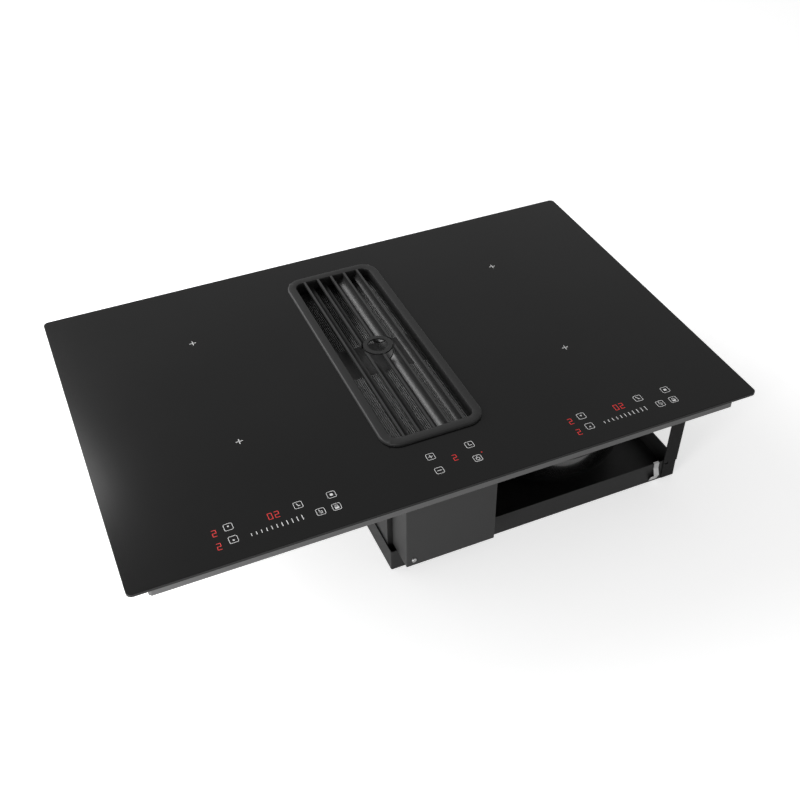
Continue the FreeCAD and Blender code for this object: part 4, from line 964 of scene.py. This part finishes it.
class COOKTOP_OT_screws(bpy.types.Operator):
    """Sets the pan screws of the control box's cover and of the worktop clamps"""
    bl_idname = "cooktop.screws"
    bl_label = "Screws"

    COVER_INSET = 10 * MM  # screws from the cover's corners
    CLAMP_MARGIN = 12 * MM  # screws from the ends of the clamps
    CLAMP_PLATE = 1.5 * MM
    HEAD_ROUND = 0.7 * MM
    RECESS_RIM, RECESS_TAPER, RECESS_DEPTH = 0.9 * MM, 0.15 * MM, 0.9 * MM

    def execute(self, context):
        low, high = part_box("control_box_cover")
        front = Vector((0, -1, 0))
        inset = self.COVER_INSET
        heads = [self.screw((low[0] + inset, low[1], low[2] + inset), front),
                 self.screw((high[0] - inset, low[1], high[2] - inset), front)]
        settle(join(heads), "cover_screws", HOUSING, finish("screw"))
        low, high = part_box("worktop_clamps")
        tray_low, tray_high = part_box("hob_tray")
        level = (tray_low[2] + tray_high[2]) / 2
        heads = []
        for side, wall in ((-1, tray_low[0]), (1, tray_high[0])):
            for y in (low[1] + self.CLAMP_MARGIN, high[1] - self.CLAMP_MARGIN):
                seat = (wall + side * self.CLAMP_PLATE, y, level)
                heads.append(self.screw(seat, Vector((side, 0, 0))))
        settle(join(heads), "clamp_screws", HOUSING, finish("screw"))
        return {"FINISHED"}

    def screw(self, seat, out):
        """Pan head with a rounded edge and a round recess, standing on its seat."""
        shells = bpy.context.scene.cooktop_shells
        radius, height = shells.screw_radius, shells.screw_height
        clear_selection()
        bpy.ops.mesh.primitive_cylinder_add(vertices=24, radius=radius, depth=height,
                                            location=(0, 0, height / 2))
        head = bpy.context.object
        bpy.ops.object.transform_apply(location=True, rotation=True, scale=True)
        bpy.ops.object.mode_set(mode="EDIT")
        pick_edges(lambda place: place.z > height - NEAR)
        bpy.ops.mesh.bevel(offset=self.HEAD_ROUND, segments=4)
        pick_faces(lambda centre, normal: normal.z > 0.99)
        bpy.ops.mesh.inset(thickness=self.RECESS_RIM, depth=0.0)
        bpy.ops.mesh.inset(thickness=self.RECESS_TAPER, depth=-self.RECESS_DEPTH)
        face_out()
        bpy.ops.object.shade_smooth_by_angle(angle=math.radians(35))
        head.rotation_euler = out.to_track_quat("Z", "Y").to_euler()
        head.location = seat
        return head


class COOKTOP_OT_studio(bpy.types.Operator):
    """Sets up the floor, the soft light and the camera"""
    bl_idname = "cooktop.studio"
    bl_label = "Studio"

    WHITE = (1, 1, 1, 1)
    FLOOR_SIZE = 60.0
    FLOOR_LEVEL = -0.5 * MM
    GLOSSY_GLOW = 0.5  # share of the floor's glow seen in gloss
    HORIZON_LOW, HORIZON_HIGH = 0.15, 0.45  # where the horizon fades into the sky
    # Each lamp: its name, place, size and the setting with its power.
    LAMPS = (("studio_key", (-1.15, 1.25, 1.05), 1.5, "key_power"),
             ("studio_side", (-1.0, -0.80, 0.35), 0.4, "side_power"))

    def execute(self, context):
        studio = context.scene.cooktop_studio
        self.make_floor(studio)
        self.make_world(context, studio)
        self.make_lamps(context, studio)
        self.make_camera(context, studio)
        context.scene.view_settings.view_transform = "Standard"
        return {"FINISHED"}

    def make_floor(self, studio):
        """Pale floor that is lifted towards white where the camera sees it."""
        clear_selection()
        bpy.ops.mesh.primitive_plane_add(size=self.FLOOR_SIZE,
                                         location=(0, 0, self.FLOOR_LEVEL))
        floor = bpy.context.object
        floor.name = "studio_floor"
        material, tree, shader = new_material("Studio floor")
        shader.inputs["Base Color"].default_value = (*studio.floor_grey, 1.0)
        shader.inputs["Roughness"].default_value = 0.9
        shader.inputs["Specular IOR Level"].default_value = 0.1
        ray = tree.nodes.new("ShaderNodeLightPath").outputs
        seen = math_node(tree, "MULTIPLY_ADD", ray["Is Glossy Ray"], self.GLOSSY_GLOW,
                         ray["Is Camera Ray"])
        glow = math_node(tree, "MULTIPLY", seen, studio.floor_glow)
        shader.inputs["Emission Color"].default_value = self.WHITE
        tree.links.new(glow, shader.inputs["Emission Strength"])
        floor.data.materials.append(material)

    def make_world(self, context, studio):
        """Even sky: white behind the object, and in gloss brighter at the horizon."""
        world = bpy.data.worlds.new("Studio sky")
        context.scene.world = world
        world.use_nodes = True
        tree = world.node_tree
        background = tree.nodes["Background"].inputs
        background["Color"].default_value = self.WHITE
        ray = tree.nodes.new("ShaderNodeLightPath").outputs
        seen = math_node(tree, "MAXIMUM", ray["Is Camera Ray"], ray["Is Transmission Ray"])
        place = tree.nodes.new("ShaderNodeTexCoord")
        parts = tree.nodes.new("ShaderNodeSeparateXYZ")
        tree.links.new(place.outputs["Generated"], parts.inputs[0])
        mirrored = smooth_step(tree, parts.outputs["Z"], self.HORIZON_LOW, self.HORIZON_HIGH,
                               studio.horizon - studio.sky, studio.mirror_sky - studio.sky)
        soft = math_node(tree, "MULTIPLY_ADD", ray["Is Glossy Ray"], mirrored, studio.sky)
        tree.links.new(math_node(tree, "MAXIMUM", seen, soft), background["Strength"])

    def make_lamps(self, context, studio):
        """Area lamps that face the middle of the cooktop."""
        for name, place, size, power in self.LAMPS:
            light = bpy.data.lights.new(name, "AREA")
            light.size = size
            light.energy = getattr(studio, power)
            lamp = bpy.data.objects.new(name, light)
            context.scene.collection.objects.link(lamp)
            lamp.location = place
            lamp.rotation_euler = Vector(place).to_track_quat("Z", "Y").to_euler()

    def make_camera(self, context, studio):
        """Camera at the photograph's viewing angle."""
        lens = bpy.data.cameras.new("photo_camera")
        lens.lens = studio.lens
        lens.sensor_width = 36.0
        camera = bpy.data.objects.new("photo_camera", lens)
        context.scene.collection.objects.link(camera)
        az, el, roll = studio.azimuth, studio.elevation, studio.roll
        back = Vector((math.sin(az) * math.cos(el), -math.cos(az) * math.cos(el),
                       math.sin(el)))
        right = Vector((math.cos(az), math.sin(az), 0.0))
        up = back.cross(right)
        side = right * math.cos(roll) + up * math.sin(roll)
        top = up * math.cos(roll) - right * math.sin(roll)
        turn = Matrix((side, top, back)).transposed()
        camera.matrix_world = Matrix.Translation(studio.camera_place) @ turn.to_4x4()
        context.scene.camera = camera


class COOKTOP_PT_panel(bpy.types.Panel):
    """Lists the cooktop's pieces in the sidebar"""
    bl_idname = "COOKTOP_PT_panel"
    bl_label = "Cooktop"
    bl_space_type = "VIEW_3D"
    bl_region_type = "UI"
    bl_category = "Cooktop"

    def draw(self, context):
        layout = self.layout
        for step in STEPS:
            layout.operator(step.bl_idname)
        for group in SETTINGS:
            settings = getattr(context.scene, group)
            box = layout.box()
            for name in settings.__annotations__:
                box.prop(settings, name)


STEPS = (COOKTOP_OT_finishes, COOKTOP_OT_key_fields, COOKTOP_OT_displays, COOKTOP_OT_sliders,
         COOKTOP_OT_zone_marks, COOKTOP_OT_filter_weave, COOKTOP_OT_grille_rim,
         COOKTOP_OT_scroll_shells, COOKTOP_OT_screws, COOKTOP_OT_studio)
SETTINGS = {"cooktop_marks": CooktopMarks, "cooktop_filter": CooktopFilter,
            "cooktop_shells": CooktopShells, "cooktop_colours": CooktopColours,
            "cooktop_studio": CooktopStudio}
CLASSES = tuple(SETTINGS.values()) + STEPS + (COOKTOP_PT_panel,)


def register():
    for item in CLASSES:
        bpy.utils.register_class(item)
    for name, group in SETTINGS.items():
        setattr(bpy.types.Scene, name, PointerProperty(type=group))


def unregister():
    for name in SETTINGS:
        delattr(bpy.types.Scene, name)
    for item in reversed(CLASSES):
        bpy.utils.unregister_class(item)


def main():
    register()
    for step in STEPS:
        family, action = step.bl_idname.split(".")
        getattr(getattr(bpy.ops, family), action)()
    clear_selection()


if __name__ == "__main__":
    main()
